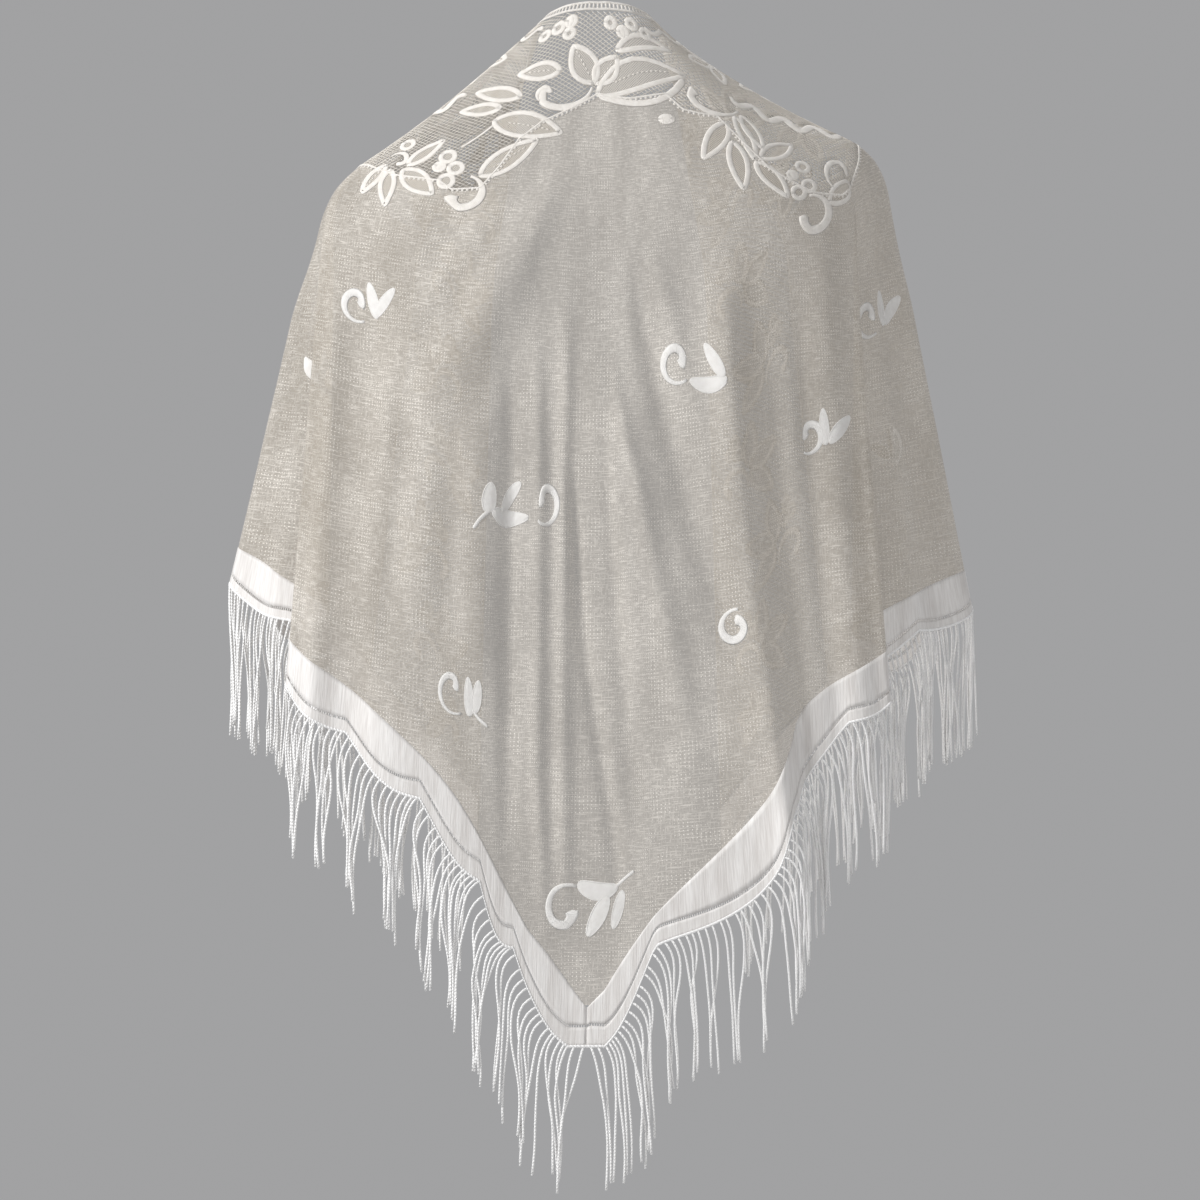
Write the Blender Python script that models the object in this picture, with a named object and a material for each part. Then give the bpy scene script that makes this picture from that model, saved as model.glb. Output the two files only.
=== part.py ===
"""Triangular lace shawl as worn over the shoulders: a hollow cloth wall with a fringed hem.

Metres, +Z up. The wearer's back faces +Y and their left side is +X. The origin lies midway between
the shoulders, where the cloth rests. The cloth is one surface made of fall lines: each starts on the
neck edge, bends over the shoulder or the upper back and hangs to the hem. Every piece is a wall cut
from that surface, parted from its neighbours by the seam gap.
"""

import math
from collections import namedtuple

import bpy
import numpy as np

# Walls and seams
FIELD_THICK = 0.0012
LACE_THICK = 0.0014
BORDER_THICK = 0.0016
EDGING_THICK = 0.0020
SEAM_GAP = 0.0003

# Widths measured along a fall line
EDGING_WIDTH = 0.008
HEADING_WIDTH = 0.005

# Rows of cells in each zone of a fall line
LACE_ROWS = 5
FIELD_ROWS = 11
BORDER_ROWS = 2

# Scallops of the hem. The tip is cut off level. Notches part the lobes at distances along the hem from
# the tip, and each lobe past the last notch has the usual length.
TIP_HALF_LINES = 0.30
LEFT_NOTCHES = (0.014, 0.112, 0.176, 0.264)
RIGHT_NOTCHES = (0.014, 0.114, 0.280, 0.380)
LOBE_LENGTH = 0.088
LOBE_DEPTH = 0.0085

# How far the band's inner edge rises from the middle of the tip to the tip's ends
TIP_RISE = 0.018

# A lobe's reach down the fall line for each unit of its depth, where the hem slopes
SLOPE_LINES = (0, 1, 2, 3, 4, 6, 8, 10)
LEFT_REACH = (2.0, 2.0, 2.0, 1.4, 1.25, 1.1, 1.2, 1.6)
RIGHT_REACH = (2.2, 1.8, 1.3, 1.5, 1.25, 1.1, 1.2, 1.6)

# How far the cloth dips between the neck and the shoulder
NECK_DIP = 0.008

# Most of a straight stretch that the bend over the shoulder may take up
MOST_BENT = 0.45

# Fringe. From each point of a strand to the next it narrows by the taper, and its ring is brought nearer
# level by the factors for x, y and z.
STRANDS_PER_CELL = 2
STRAND_WIDTH = 0.0022
STRAND_LENGTH = 0.125
STRAND_STAND = 0.012
STRAND_ARCH = 0.026
STRAND_TAPER = 0.85
STRAND_LEVEL = np.array((1.0, 1.0, 0.5))
STRANDS_PER_CLUMP = 5
CLUMP_DRAW = 0.30

# How a strand leans along its leaving direction for each unit of drop, where it arches and where it hangs
ARCH_LEAN = 0.42
HANG_LEAN = 0.04

# How much the strands differ: share of the length, and distance out of the cloth
LENGTH_SWAY = 0.06
DEPTH_SWAY = 0.0015
SWAY_STEP = 12.9898
SWAY_TURN = 78.233

# Columns on each side of a strand that set the slope of the hem there
HEM_SPAN = 3

# A row for each fall line of one side, from the back to the front edge. Points are (out, y, z), where
# out is the distance sideways from the middle. cells is how many columns lie between it and the row
# above, rounding is the reach of the bend, lace and border are the zones' widths along the line.
Fall = namedtuple("Fall", "name cells neck shoulder hem rounding lace border")
CENTRE = Fall("centre back", 0, (0.0, 0.066, 0.156), (0.0, 0.13, -0.04), (0.01, 0.165, -0.757),
              0.1, 0.105, 0.034)
LEFT_FALLS = (
    Fall("beside tip", 3, (0.01, 0.066, 0.156), (0.04, 0.131, -0.038), (0.06, 0.165, -0.695),
         0.1, 0.108, 0.037),
    Fall("inner back", 5, (0.026, 0.062, 0.154), (0.1, 0.129, -0.034), (0.125, 0.166, -0.576),
         0.095, 0.13, 0.036),
    Fall("outer back", 6, (0.04, 0.05, 0.15), (0.17, 0.104, -0.022), (0.2, 0.158, -0.504),
         0.075, 0.185, 0.04),
    Fall("fold crest", 5, (0.046, 0.04, 0.147), (0.236, 0.056, -0.008), (0.267, 0.128, -0.446),
         0.045, 0.2, 0.036),
    Fall("fold root", 4, (0.049, 0.03, 0.145), (0.236, 0.036, -0.004), (0.236, 0.098, -0.42),
         0.04, 0.2, 0.034),
    Fall("arm back", 4, (0.051, 0.018, 0.143), (0.24, 0.018, 0.0), (0.294, 0.054, -0.38),
         0.04, 0.2, 0.034),
    Fall("arm side", 3, (0.053, 0.004, 0.139), (0.243, -0.008, -0.001), (0.33, -0.008, -0.36),
         0.04, 0.2, 0.034),
    Fall("arm front", 5, (0.057, -0.018, 0.13), (0.225, -0.058, -0.01), (0.3, -0.092, -0.388),
         0.045, 0.19, 0.035),
    Fall("outer chest", 5, (0.062, -0.036, 0.118), (0.17, -0.098, -0.03), (0.222, -0.15, -0.47),
         0.055, 0.18, 0.036),
    Fall("front edge", 6, (0.07, -0.052, 0.1), (0.1, -0.122, -0.07), (0.115, -0.178, -0.6),
         0.06, 0.17, 0.036),
)
RIGHT_FALLS = (
    Fall("beside tip", 3, (0.01, 0.066, 0.156), (0.038, 0.131, -0.037), (0.047, 0.165, -0.674),
         0.1, 0.108, 0.028),
    Fall("inner back", 5, (0.026, 0.062, 0.154), (0.098, 0.129, -0.028), (0.15, 0.166, -0.604),
         0.095, 0.13, 0.06),
    Fall("outer back", 6, (0.04, 0.05, 0.15), (0.165, 0.104, -0.012), (0.182, 0.158, -0.512),
         0.075, 0.18, 0.048),
    Fall("fold crest", 5, (0.046, 0.04, 0.147), (0.223, 0.056, -0.006), (0.249, 0.128, -0.454),
         0.045, 0.2, 0.036),
    Fall("fold root", 4, (0.049, 0.03, 0.145), (0.23, 0.036, 0.012), (0.222, 0.098, -0.436),
         0.04, 0.205, 0.034),
    Fall("arm back", 4, (0.051, 0.018, 0.143), (0.246, 0.018, 0.024), (0.288, 0.054, -0.4),
         0.04, 0.21, 0.034),
    Fall("arm side", 3, (0.053, 0.004, 0.14), (0.256, -0.008, 0.03), (0.338, -0.008, -0.38),
         0.04, 0.21, 0.034),
    Fall("arm front", 5, (0.057, -0.018, 0.131), (0.234, -0.058, 0.018), (0.302, -0.092, -0.408),
         0.045, 0.2, 0.035),
    Fall("outer chest", 5, (0.062, -0.036, 0.118), (0.174, -0.098, -0.015), (0.225, -0.15, -0.484),
         0.055, 0.185, 0.036),
    Fall("front edge", 6, (0.07, -0.052, 0.1), (0.102, -0.122, -0.064), (0.118, -0.178, -0.61),
         0.06, 0.17, 0.036),
)
FOLD_ROOT = 5
OUTER_CHEST = 9

# Hanging folds. A path holds (share of the fall, fall line), with the fall lines counted from the
# centre back, the left side's positive. half_width is in fall lines too, and a trough has a
# negative height.
Fold = namedtuple("Fold", "name height half_width path")
FOLDS = (
    Fold("left shoulder ridge", 0.008, 0.28, ((0.16, 0.90), (0.50, 2.38), (0.68, 2.48), (0.90, 2.46))),
    Fold("left inner ridge", 0.006, 0.26, ((0.42, 2.00), (0.62, 1.92), (0.84, 1.80))),
    Fold("broad slanting ridge", 0.011, 0.55, ((0.32, 0.10), (0.52, -0.80), (0.74, -1.46), (0.95, -1.92))),
    Fold("right hanging ridge", 0.014, 0.26, ((0.30, -2.00), (0.58, -1.98), (0.76, -2.06), (1.02, -2.30))),
    Fold("right hanging trough", -0.008, 0.24, ((0.42, -2.50), (0.66, -2.58), (1.02, -2.95))),
    Fold("left panel trough", -0.007, 0.26, ((0.40, 3.25), (0.70, 3.30), (1.02, 3.20))),
    Fold("right panel ridge", 0.006, 0.22, ((0.34, -3.40), (0.66, -3.48), (1.02, -3.58))),
    Fold("left arm ridge", 0.008, 0.26, ((0.46, 6.50), (0.75, 6.60), (1.02, 6.65))),
    Fold("right arm ridge", 0.008, 0.26, ((0.44, -6.40), (0.75, -6.55), (1.02, -6.60))),
    Fold("left arm trough", -0.010, 0.26, ((0.40, 7.70), (0.72, 7.75), (1.02, 7.80))),
    Fold("right arm trough", -0.010, 0.26, ((0.42, -7.75), (0.72, -7.70), (1.02, -7.65))),
    Fold("left chest ridge", 0.014, 0.26, ((0.30, 8.40), (0.65, 8.35), (1.02, 8.30))),
    Fold("right chest ridge", 0.013, 0.26, ((0.28, -8.30), (0.65, -8.35), (1.02, -8.40))),
    Fold("left front trough", -0.011, 0.24, ((0.26, 8.95), (0.65, 8.85), (1.02, 8.85))),
    Fold("right front trough", -0.010, 0.24, ((0.30, -8.90), (0.65, -8.90), (1.02, -8.95))),
    Fold("left front ridge", 0.010, 0.22, ((0.20, 9.55), (0.65, 9.45), (1.02, 9.40))),
    Fold("right front ridge", 0.011, 0.22, ((0.22, -9.50), (0.65, -9.45), (1.02, -9.45))),
)
FOLD_FADE = 0.14

Look = namedtuple("Look", "color roughness")
LOOKS = {
    "edging": Look((0.86, 0.84, 0.81, 1.0), 0.80),
    "lace": Look((0.88, 0.85, 0.82, 1.0), 0.75),
    "field": Look((0.74, 0.70, 0.66, 1.0), 0.85),
    "border": Look((0.92, 0.90, 0.89, 1.0), 0.55),
    "fringe": Look((0.93, 0.92, 0.91, 1.0), 0.50),
}
METALLIC = 0.0
SHARP_ANGLE = 50


def station_table():
    """All fall lines from the right front edge round the back to the left front edge, as numbers."""
    def numbers(fall, side):
        points = [(side * out, y, z) for out, y, z in (fall.neck, fall.shoulder, fall.hem)]
        return [value for point in points for value in point] + [fall.rounding, fall.lace, fall.border]

    right = [numbers(fall, -1) for fall in reversed(RIGHT_FALLS)]
    left = [numbers(fall, 1) for fall in LEFT_FALLS]
    table = np.array(right + [numbers(CENTRE, 1)] + left)
    before = 2 * table[0] - table[1]
    after = 2 * table[-1] - table[-2]
    return np.vstack([before, table, after])


STATIONS = station_table()
LAST = len(LEFT_FALLS)


def smooth_between(a, b, c, d, t):
    """Point at share t of the way from b to c, on the smooth curve through a, b, c and d."""
    return 0.5 * (
        2 * b + (c - a) * t + (2 * a - 5 * b + 4 * c - d) * t**2 + (3 * b - a - 3 * c + d) * t**3
    )


def fall_line(line):
    """Neck, shoulder and hem points, rounding, lace width and border width of a fall line.

    line counts fall lines from the centre back, the left side's positive, and may lie between two.
    """
    place = min(max(line + LAST, 0.0), 2.0 * LAST)
    first = min(int(place), 2 * LAST - 1)
    row = smooth_between(*STATIONS[first:first + 4], place - first)
    hem = row[6:9]
    if abs(line) < 1:
        falls = LEFT_FALLS if line > 0 else RIGHT_FALLS
        tip, side = CENTRE.hem[2], falls[0].hem[2]
        climb = (abs(line) - TIP_HALF_LINES) / (1 - TIP_HALF_LINES)
        hem = np.array((hem[0], hem[1], tip + (side - tip) * max(climb, 0.0)))
    return row[0:3], row[3:6], hem, row[9], row[10], row[11]


def bare_length(line):
    """Length of a fall line without its scallop."""
    neck, shoulder, hem = fall_line(line)[:3]
    return np.linalg.norm(shoulder - neck) + np.linalg.norm(hem - shoulder)


def hem_distances():
    """Distance along the hem from the tip, for closely spaced fall lines of each side."""
    steps = 40 * LAST
    lines = np.linspace(0, LAST, steps + 1)
    result = {}
    for side in (-1, 1):
        points = np.array([fall_line(side * line)[2] for line in lines])
        runs = np.linalg.norm(np.diff(points, axis=0), axis=1)
        result[side] = (lines, np.concatenate([[0.0], np.cumsum(runs)]))
    return result


HEM = hem_distances()


def scallop(line):
    """How far the hem's lobes reach past the line through their notches, down the fall line."""
    side, notches, reach = (1, LEFT_NOTCHES, LEFT_REACH) if line >= 0 else (-1, RIGHT_NOTCHES, RIGHT_REACH)
    along = np.interp(abs(line), *HEM[side])
    lobes = np.interp(along, notches, range(len(notches))) + max(along - notches[-1], 0.0) / LOBE_LENGTH
    return LOBE_DEPTH * np.interp(abs(line), SLOPE_LINES, reach) * abs(math.sin(math.pi * lobes))


def full_length(line):
    """Length of a fall line down to the scalloped hem."""
    return bare_length(line) + scallop(line)


def draped_point(line, share):
    """Point of the smooth drape at a share of the fall, before the folds are added."""
    neck, shoulder, hem, rounding = fall_line(line)[:4]
    upper = np.linalg.norm(shoulder - neck)
    lower = np.linalg.norm(hem - shoulder)
    over = (shoulder - neck) / upper
    down = (hem - shoulder) / lower
    distance = share * full_length(line)
    reach = min(rounding, MOST_BENT * upper, MOST_BENT * lower)
    dip = NECK_DIP * math.sin(math.pi * min(distance / upper, 1.0))
    if distance <= upper - reach:
        point = neck + over * distance
    elif distance >= upper + reach:
        point = shoulder + down * (distance - upper)
    else:
        t = (distance - upper + reach) / (2 * reach)
        start = shoulder - over * reach
        end = shoulder + down * reach
        point = (1 - t) ** 2 * start + 2 * t * (1 - t) * shoulder + t**2 * end
    return point - np.array((0.0, 0.0, dip))


def fold_height(line, share):
    """Sum of the folds' heights at a point of the cloth."""
    total = 0.0
    for fold in FOLDS:
        shares = [place[0] for place in fold.path]
        centre = np.interp(share, shares, [place[1] for place in fold.path])
        rise = min(max((share - shares[0]) / FOLD_FADE, 0.0), 1.0)
        fall = min(max((shares[-1] - share) / FOLD_FADE, 0.0), 1.0) if shares[-1] < 1 else 1.0
        fade = (rise * rise * (3 - 2 * rise)) * (fall * fall * (3 - 2 * fall))
        total += fold.height * fade * math.exp(-(((line - centre) / fold.half_width) ** 2))
    return total


def outward(line, share):
    """Unit normal of the smooth drape, away from the body, from points a short step to each side."""
    step = 0.02
    across = draped_point(min(line + step, LAST), share) - draped_point(max(line - step, -LAST), share)
    along = draped_point(line, min(share + step, 1.0)) - draped_point(line, max(share - step, 0.0))
    normal = np.cross(across, along)
    return normal / np.linalg.norm(normal)


def cloth_point(line, share):
    """Point of the cloth's middle surface, folds included."""
    return draped_point(line, share) + outward(line, share) * fold_height(line, share)


def column_lines():
    """The fall line of each column of the grid, from the right front edge to the left one."""
    def one_side(falls):
        lines = []
        for number, fall in enumerate(falls):
            lines += [number + step / fall.cells for step in range(1, fall.cells + 1)]
        return lines

    right = [-line for line in reversed(one_side(RIGHT_FALLS))]
    return right + [0.0] + one_side(LEFT_FALLS)


def row_distances(line):
    """Distances down a fall line of the grid's rows: edging, lace, field, border and heading."""
    lace, border = fall_line(line)[4:]
    border += TIP_RISE * np.interp(abs(line), (0, TIP_HALF_LINES, 1), (0, 1, 0))
    band = bare_length(line) - border
    length = full_length(line)
    rows = [0.0]
    rows += list(np.linspace(EDGING_WIDTH, lace, LACE_ROWS + 1))
    rows += list(np.linspace(lace, band, FIELD_ROWS + 1)[1:])
    rows += list(np.linspace(band, length - HEADING_WIDTH, BORDER_ROWS + 1)[1:])
    return [row / length for row in rows + [length]]


def cloth_grid():
    """Points and outward normals of the cloth, column by column and row by row."""
    lines = column_lines()
    points = np.array([[cloth_point(line, share) for share in row_distances(line)] for line in lines])
    across = np.gradient(points, axis=0)
    along = np.gradient(points, axis=1)
    normals = np.cross(across, along)
    return lines, points, normals / np.linalg.norm(normals, axis=2, keepdims=True)


LINES, POINTS, NORMALS = cloth_grid()
EDGING_END = 1
LACE_END = EDGING_END + LACE_ROWS
FIELD_END = LACE_END + FIELD_ROWS
BORDER_END = FIELD_END + BORDER_ROWS


def column_at(line):
    """Index of the grid column on a fall line."""
    return min(range(len(LINES)), key=lambda index: abs(LINES[index] - line))


def cells_between(start_line, end_line, start_row, end_row):
    """The grid cells between two fall lines and two rows."""
    columns = range(column_at(start_line), column_at(end_line))
    return {(column, row) for column in columns for row in range(start_row, end_row)}


def finish_object(name, vertices, faces, look):
    """An object of that name from its vertices and faces, shaded smooth, with its own material."""
    mesh = bpy.data.meshes.new(name)
    mesh.from_pydata([tuple(vertex) for vertex in vertices], [], faces)
    mesh.shade_smooth()
    mesh.set_sharp_from_angle(angle=math.radians(SHARP_ANGLE))
    material = bpy.data.materials.new(name)
    material.use_nodes = True
    shader = material.node_tree.nodes["Principled BSDF"]
    shader.inputs["Base Color"].default_value = LOOKS[look].color
    shader.inputs["Roughness"].default_value = LOOKS[look].roughness
    shader.inputs["Metallic"].default_value = METALLIC
    material.diffuse_color = LOOKS[look].color
    mesh.materials.append(material)
    piece = bpy.data.objects.new(name, mesh)
    bpy.context.scene.collection.objects.link(piece)
    return piece


def border_edges(cells):
    """Directed edges round a set of cells, counterclockwise seen from outside."""
    edges = set()
    for column, row in cells:
        ring = [(column, row), (column + 1, row), (column + 1, row + 1), (column, row + 1)]
        for start, end in zip(ring, ring[1:] + ring[:1]):
            if (end, start) in edges:
                edges.remove((end, start))
            else:
                edges.add((start, end))
    return edges


def seam_shifts(edges):
    """Moves that draw each point of a piece's outline half a seam gap into the piece."""
    inward = {}
    for start, end in edges:
        run = POINTS[end] - POINTS[start]
        for corner in (start, end):
            side = np.cross(NORMALS[corner], run)
            inward.setdefault(corner, []).append(side / np.linalg.norm(side))
    shifts = {}
    for corner, sides in inward.items():
        total = np.sum(sides, axis=0)
        share = 2.0 / max(float(total @ total), 1.0)
        shifts[corner] = SEAM_GAP / 2 * total * share
    return shifts


def make_wall(name, cells, thickness, look):
    """A wall of the given thickness over a set of the grid's cells."""
    edges = border_edges(cells)
    shifts = seam_shifts(edges)
    places = sorted({(c + x, r + y) for c, r in cells for x in (0, 1) for y in (0, 1)})
    number = {place: index for index, place in enumerate(places)}
    middle = [POINTS[place] + shifts.get(place, 0.0) for place in places]
    reach = [NORMALS[place] * thickness / 2 for place in places]
    vertices = [m + r for m, r in zip(middle, reach)] + [m - r for m, r in zip(middle, reach)]
    inner = len(places)
    faces = []
    for column, row in sorted(cells):
        a, b = number[(column, row)], number[(column + 1, row)]
        d, c = number[(column, row + 1)], number[(column + 1, row + 1)]
        faces += [(a, b, c), (a, c, d)]
        faces += [(c + inner, b + inner, a + inner), (d + inner, c + inner, a + inner)]
    for start, end in sorted(edges):
        p, q = number[start], number[end]
        if start < end:
            faces += [(q, p, q + inner), (p, p + inner, q + inner)]
        else:
            faces += [(q, p, p + inner), (q, p + inner, q + inner)]
    return finish_object(name, vertices, faces, look)


def sway(number, turn):
    """A number between -1 and 1 that differs from strand to strand and from turn to turn."""
    return math.sin(number * SWAY_STEP + turn * SWAY_TURN)


def hem_direction(column):
    """The way a strand leaves the hem: in the cloth and square to the hem's general slope."""
    before, after = max(column - HEM_SPAN, 0), min(column + 1 + HEM_SPAN, len(LINES) - 1)
    hem = POINTS[before:after + 1, -1]
    rise = (hem[-1, 2] - hem[0, 2]) / np.linalg.norm(np.diff(hem, axis=0), axis=1).sum()
    level = POINTS[min(column + 1, len(LINES) - 1), -1] - POINTS[column, -1]
    level[2] = 0.0
    level = level / np.linalg.norm(level)
    return level * rise - np.array((0.0, 0.0, math.sqrt(1 - rise * rise)))


def strand_path(root, leaving, number, draw):
    """Centre points of a hanging strand below its root."""
    down = np.array((0.0, 0.0, -1.0))
    arch = leaving * ARCH_LEAN + down
    hang = leaving * HANG_LEAN + down
    length = STRAND_LENGTH * (1 + LENGTH_SWAY * sway(number, 1))
    first = root + leaving * STRAND_STAND
    second = first + arch / np.linalg.norm(arch) * STRAND_ARCH
    rest = length - STRAND_STAND - STRAND_ARCH
    return [first, second, second + hang / np.linalg.norm(hang) * rest + draw]


def make_fringe(name, start_line, end_line):
    """A heading strip below the border with its strands, as one body."""
    half_thick = BORDER_THICK / 2
    first, last = column_at(start_line), column_at(end_line)
    vertices, faces, roots = [], [], []

    def add_station(column, share):
        """Four corners of the heading at a share of the way across a column."""
        def between(values, row):
            return values[column, row] * (1 - share) + values[column + 1, row] * share

        top, foot = between(POINTS, BORDER_END), between(POINTS, -1)
        top = top + (foot - top) * (SEAM_GAP / HEADING_WIDTH)
        top_reach, foot_reach = between(NORMALS, BORDER_END) * half_thick, between(NORMALS, -1) * half_thick
        vertices.extend([top + top_reach, foot + foot_reach, foot - foot_reach, top - top_reach])

    station = 0
    for column in range(first, last):
        width = np.linalg.norm(POINTS[column + 1, -1] - POINTS[column, -1])
        half = STRAND_WIDTH / 2 / width
        shares = [0.0]
        if column == first:
            shares[0] = SEAM_GAP / 2 / width
        for strand in range(STRANDS_PER_CELL):
            centre = (strand + 0.5) / STRANDS_PER_CELL
            roots.append((station + len(shares), column))
            shares += [centre - half, centre + half]
        for share in shares:
            add_station(column, share)
        station += len(shares)
    width = np.linalg.norm(POINTS[last, -1] - POINTS[last - 1, -1])
    add_station(last - 1, 1 - SEAM_GAP / 2 / width)
    rooted = {index for index, _ in roots}
    for index in range(station):
        a, b = 4 * index, 4 * index + 4
        faces += [(a, b, b + 1, a + 1), (a + 2, b + 2, b + 3, a + 3)]
        faces += [(a + 3, b + 3, a), (b + 3, b, a)]
        if index not in rooted:
            faces.append((a + 1, b + 1, b + 2, a + 2))
    faces += [(0, 1, 2, 3), (4 * station + 3, 4 * station + 2, 4 * station + 1, 4 * station)]

    centres = [np.mean([vertices[4 * i + k] for k in (1, 2, 5, 6)], axis=0) for i, _ in roots]
    for number, (index, column) in enumerate(roots):
        clump = number - number % STRANDS_PER_CLUMP
        members = centres[clump:clump + STRANDS_PER_CLUMP]
        draw = (np.mean(members, axis=0) - centres[number]) * CLUMP_DRAW
        draw = draw + NORMALS[column, -1] * DEPTH_SWAY * sway(number, 2)
        draw[2] = 0.0
        ring = [4 * index + 1, 4 * index + 5, 4 * index + 6, 4 * index + 2]
        offsets = [vertices[corner] - centres[number] for corner in ring]
        for centre in strand_path(centres[number], hem_direction(column), number, draw):
            start = len(vertices)
            offsets = [offset * STRAND_LEVEL * STRAND_TAPER for offset in offsets]
            vertices.extend(centre + offset for offset in offsets)
            fresh = [start, start + 1, start + 2, start + 3]
            for k in range(4):
                faces.append((ring[k], ring[(k + 1) % 4], fresh[(k + 1) % 4], fresh[k]))
            ring = fresh
        faces.append(tuple(ring))
    return finish_object(name, vertices, faces, "fringe")


def make_cloth():
    """Edging, lace, field and border as walls of the one surface."""
    yoke = cells_between(-OUTER_CHEST, OUTER_CHEST, EDGING_END, LACE_END)
    make_wall("neck_edging", cells_between(-LAST, LAST, 0, EDGING_END), EDGING_THICK, "edging")
    make_wall("lace_yoke", yoke, LACE_THICK, "lace")
    make_wall("lace_front_left", cells_between(OUTER_CHEST, LAST, EDGING_END, FIELD_END), LACE_THICK, "lace")
    right_front = cells_between(-LAST, -OUTER_CHEST, EDGING_END, FIELD_END)
    make_wall("lace_front_right", right_front, LACE_THICK, "lace")
    for name, start, end in (
        ("field_back", -FOLD_ROOT, FOLD_ROOT),
        ("field_wing_left", FOLD_ROOT, OUTER_CHEST),
        ("field_wing_right", -OUTER_CHEST, -FOLD_ROOT),
    ):
        make_wall(name, cells_between(start, end, LACE_END, FIELD_END), FIELD_THICK, "field")


def make_hem():
    """Border band and fringe in four stretches."""
    for name, start, end in (
        ("wing_right", -LAST, -FOLD_ROOT),
        ("back_right", -FOLD_ROOT, 0),
        ("back_left", 0, FOLD_ROOT),
        ("wing_left", FOLD_ROOT, LAST),
    ):
        make_wall("border_" + name, cells_between(start, end, FIELD_END, BORDER_END), BORDER_THICK, "border")
        make_fringe("fringe_" + name, start, end)


def main():
    """Clear the scene and build the shawl."""
    for item in list(bpy.data.objects):
        bpy.data.objects.remove(item, do_unlink=True)
    make_cloth()
    make_hem()


main()
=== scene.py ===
"""Dresses the triangular lace shawl: sheer slubbed field, floral lace, scalloped border and long fringe.

Metres, +Z up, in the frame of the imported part: the wearer's back faces +Y and their left side is +X.
All the cloth lies on one worn surface. A place on it is a fall line, counted from the centre back with
the left side's positive, and a distance down that line from the neck edge.
"""

import logging
import math
from collections.abc import Callable
from dataclasses import dataclass, field
from enum import Enum

import bpy
import numpy as np
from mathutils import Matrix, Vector


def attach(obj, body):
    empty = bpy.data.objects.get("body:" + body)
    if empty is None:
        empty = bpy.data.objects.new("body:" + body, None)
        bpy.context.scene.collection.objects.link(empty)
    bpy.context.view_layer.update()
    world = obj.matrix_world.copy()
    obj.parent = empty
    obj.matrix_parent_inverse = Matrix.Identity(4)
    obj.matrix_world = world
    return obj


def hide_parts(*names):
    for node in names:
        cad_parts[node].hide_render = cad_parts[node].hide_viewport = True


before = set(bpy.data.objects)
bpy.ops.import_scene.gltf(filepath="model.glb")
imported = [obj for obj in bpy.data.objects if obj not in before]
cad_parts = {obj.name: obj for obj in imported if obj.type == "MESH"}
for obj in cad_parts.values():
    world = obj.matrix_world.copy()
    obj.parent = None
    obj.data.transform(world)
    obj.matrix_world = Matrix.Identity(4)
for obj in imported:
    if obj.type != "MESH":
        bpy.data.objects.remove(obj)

LOG = logging.getLogger("shawl")

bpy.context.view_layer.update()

Array = np.ndarray
Socket = bpy.types.NodeSocket
Piece = bpy.types.Object


def runs_along(path: Array) -> Array:
    """Distance along a path of each of its points, from the first one."""
    return np.concatenate([[0.0], np.cumsum(np.linalg.norm(np.diff(path, axis=0), axis=1))])


def unit(vectors: Array) -> Array:
    """The same directions with a length of one."""
    return vectors / np.linalg.norm(vectors, axis=-1, keepdims=True)


def eased(share: Array) -> Array:
    """A share from 0 to 1 that starts and ends softly."""
    return share * share * (3 - 2 * share)


def left_of(path: Array) -> Array:
    """Unit vectors to the left of a path in a flat lay, one at each of its points."""
    tangent = np.gradient(path, axis=0)
    return unit(np.stack([-tangent[:, 1], tangent[:, 0]], axis=1))


def along_path(path: Array, runs: Array) -> Array:
    """The points of a flat path at distances along it."""
    return np.stack([np.interp(runs, runs_along(path), path[:, k]) for k in (0, 1)], axis=-1)


def band_edge(path: Array, half: Array) -> Array:
    """The edge of a band of given half widths along a path, as a closed path."""
    reach = left_of(path) * half[:, None]
    return np.vstack([path + reach, (path - reach)[::-1]])


@dataclass(frozen=True)
class Fall:
    """One fall line of a side, with its points given as (out from the middle, y, z)."""

    name: str
    neck: tuple[float, float, float]
    shoulder: tuple[float, float, float]
    hem: tuple[float, float, float]
    rounding: float
    border: float


# Where the numbers of a fall line stand in its row
NECK, SHOULDER, HEM = slice(0, 3), slice(3, 6), slice(6, 9)
HEM_HEIGHT, ROUNDING, BORDER_WIDTH = 8, 9, 10


@dataclass(frozen=True)
class Fold:
    """A hanging ridge, or a trough where height is negative, along a path of (share of the fall, line)."""

    name: str
    height: float
    half_width: float
    path: tuple[tuple[float, float], ...]


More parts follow.
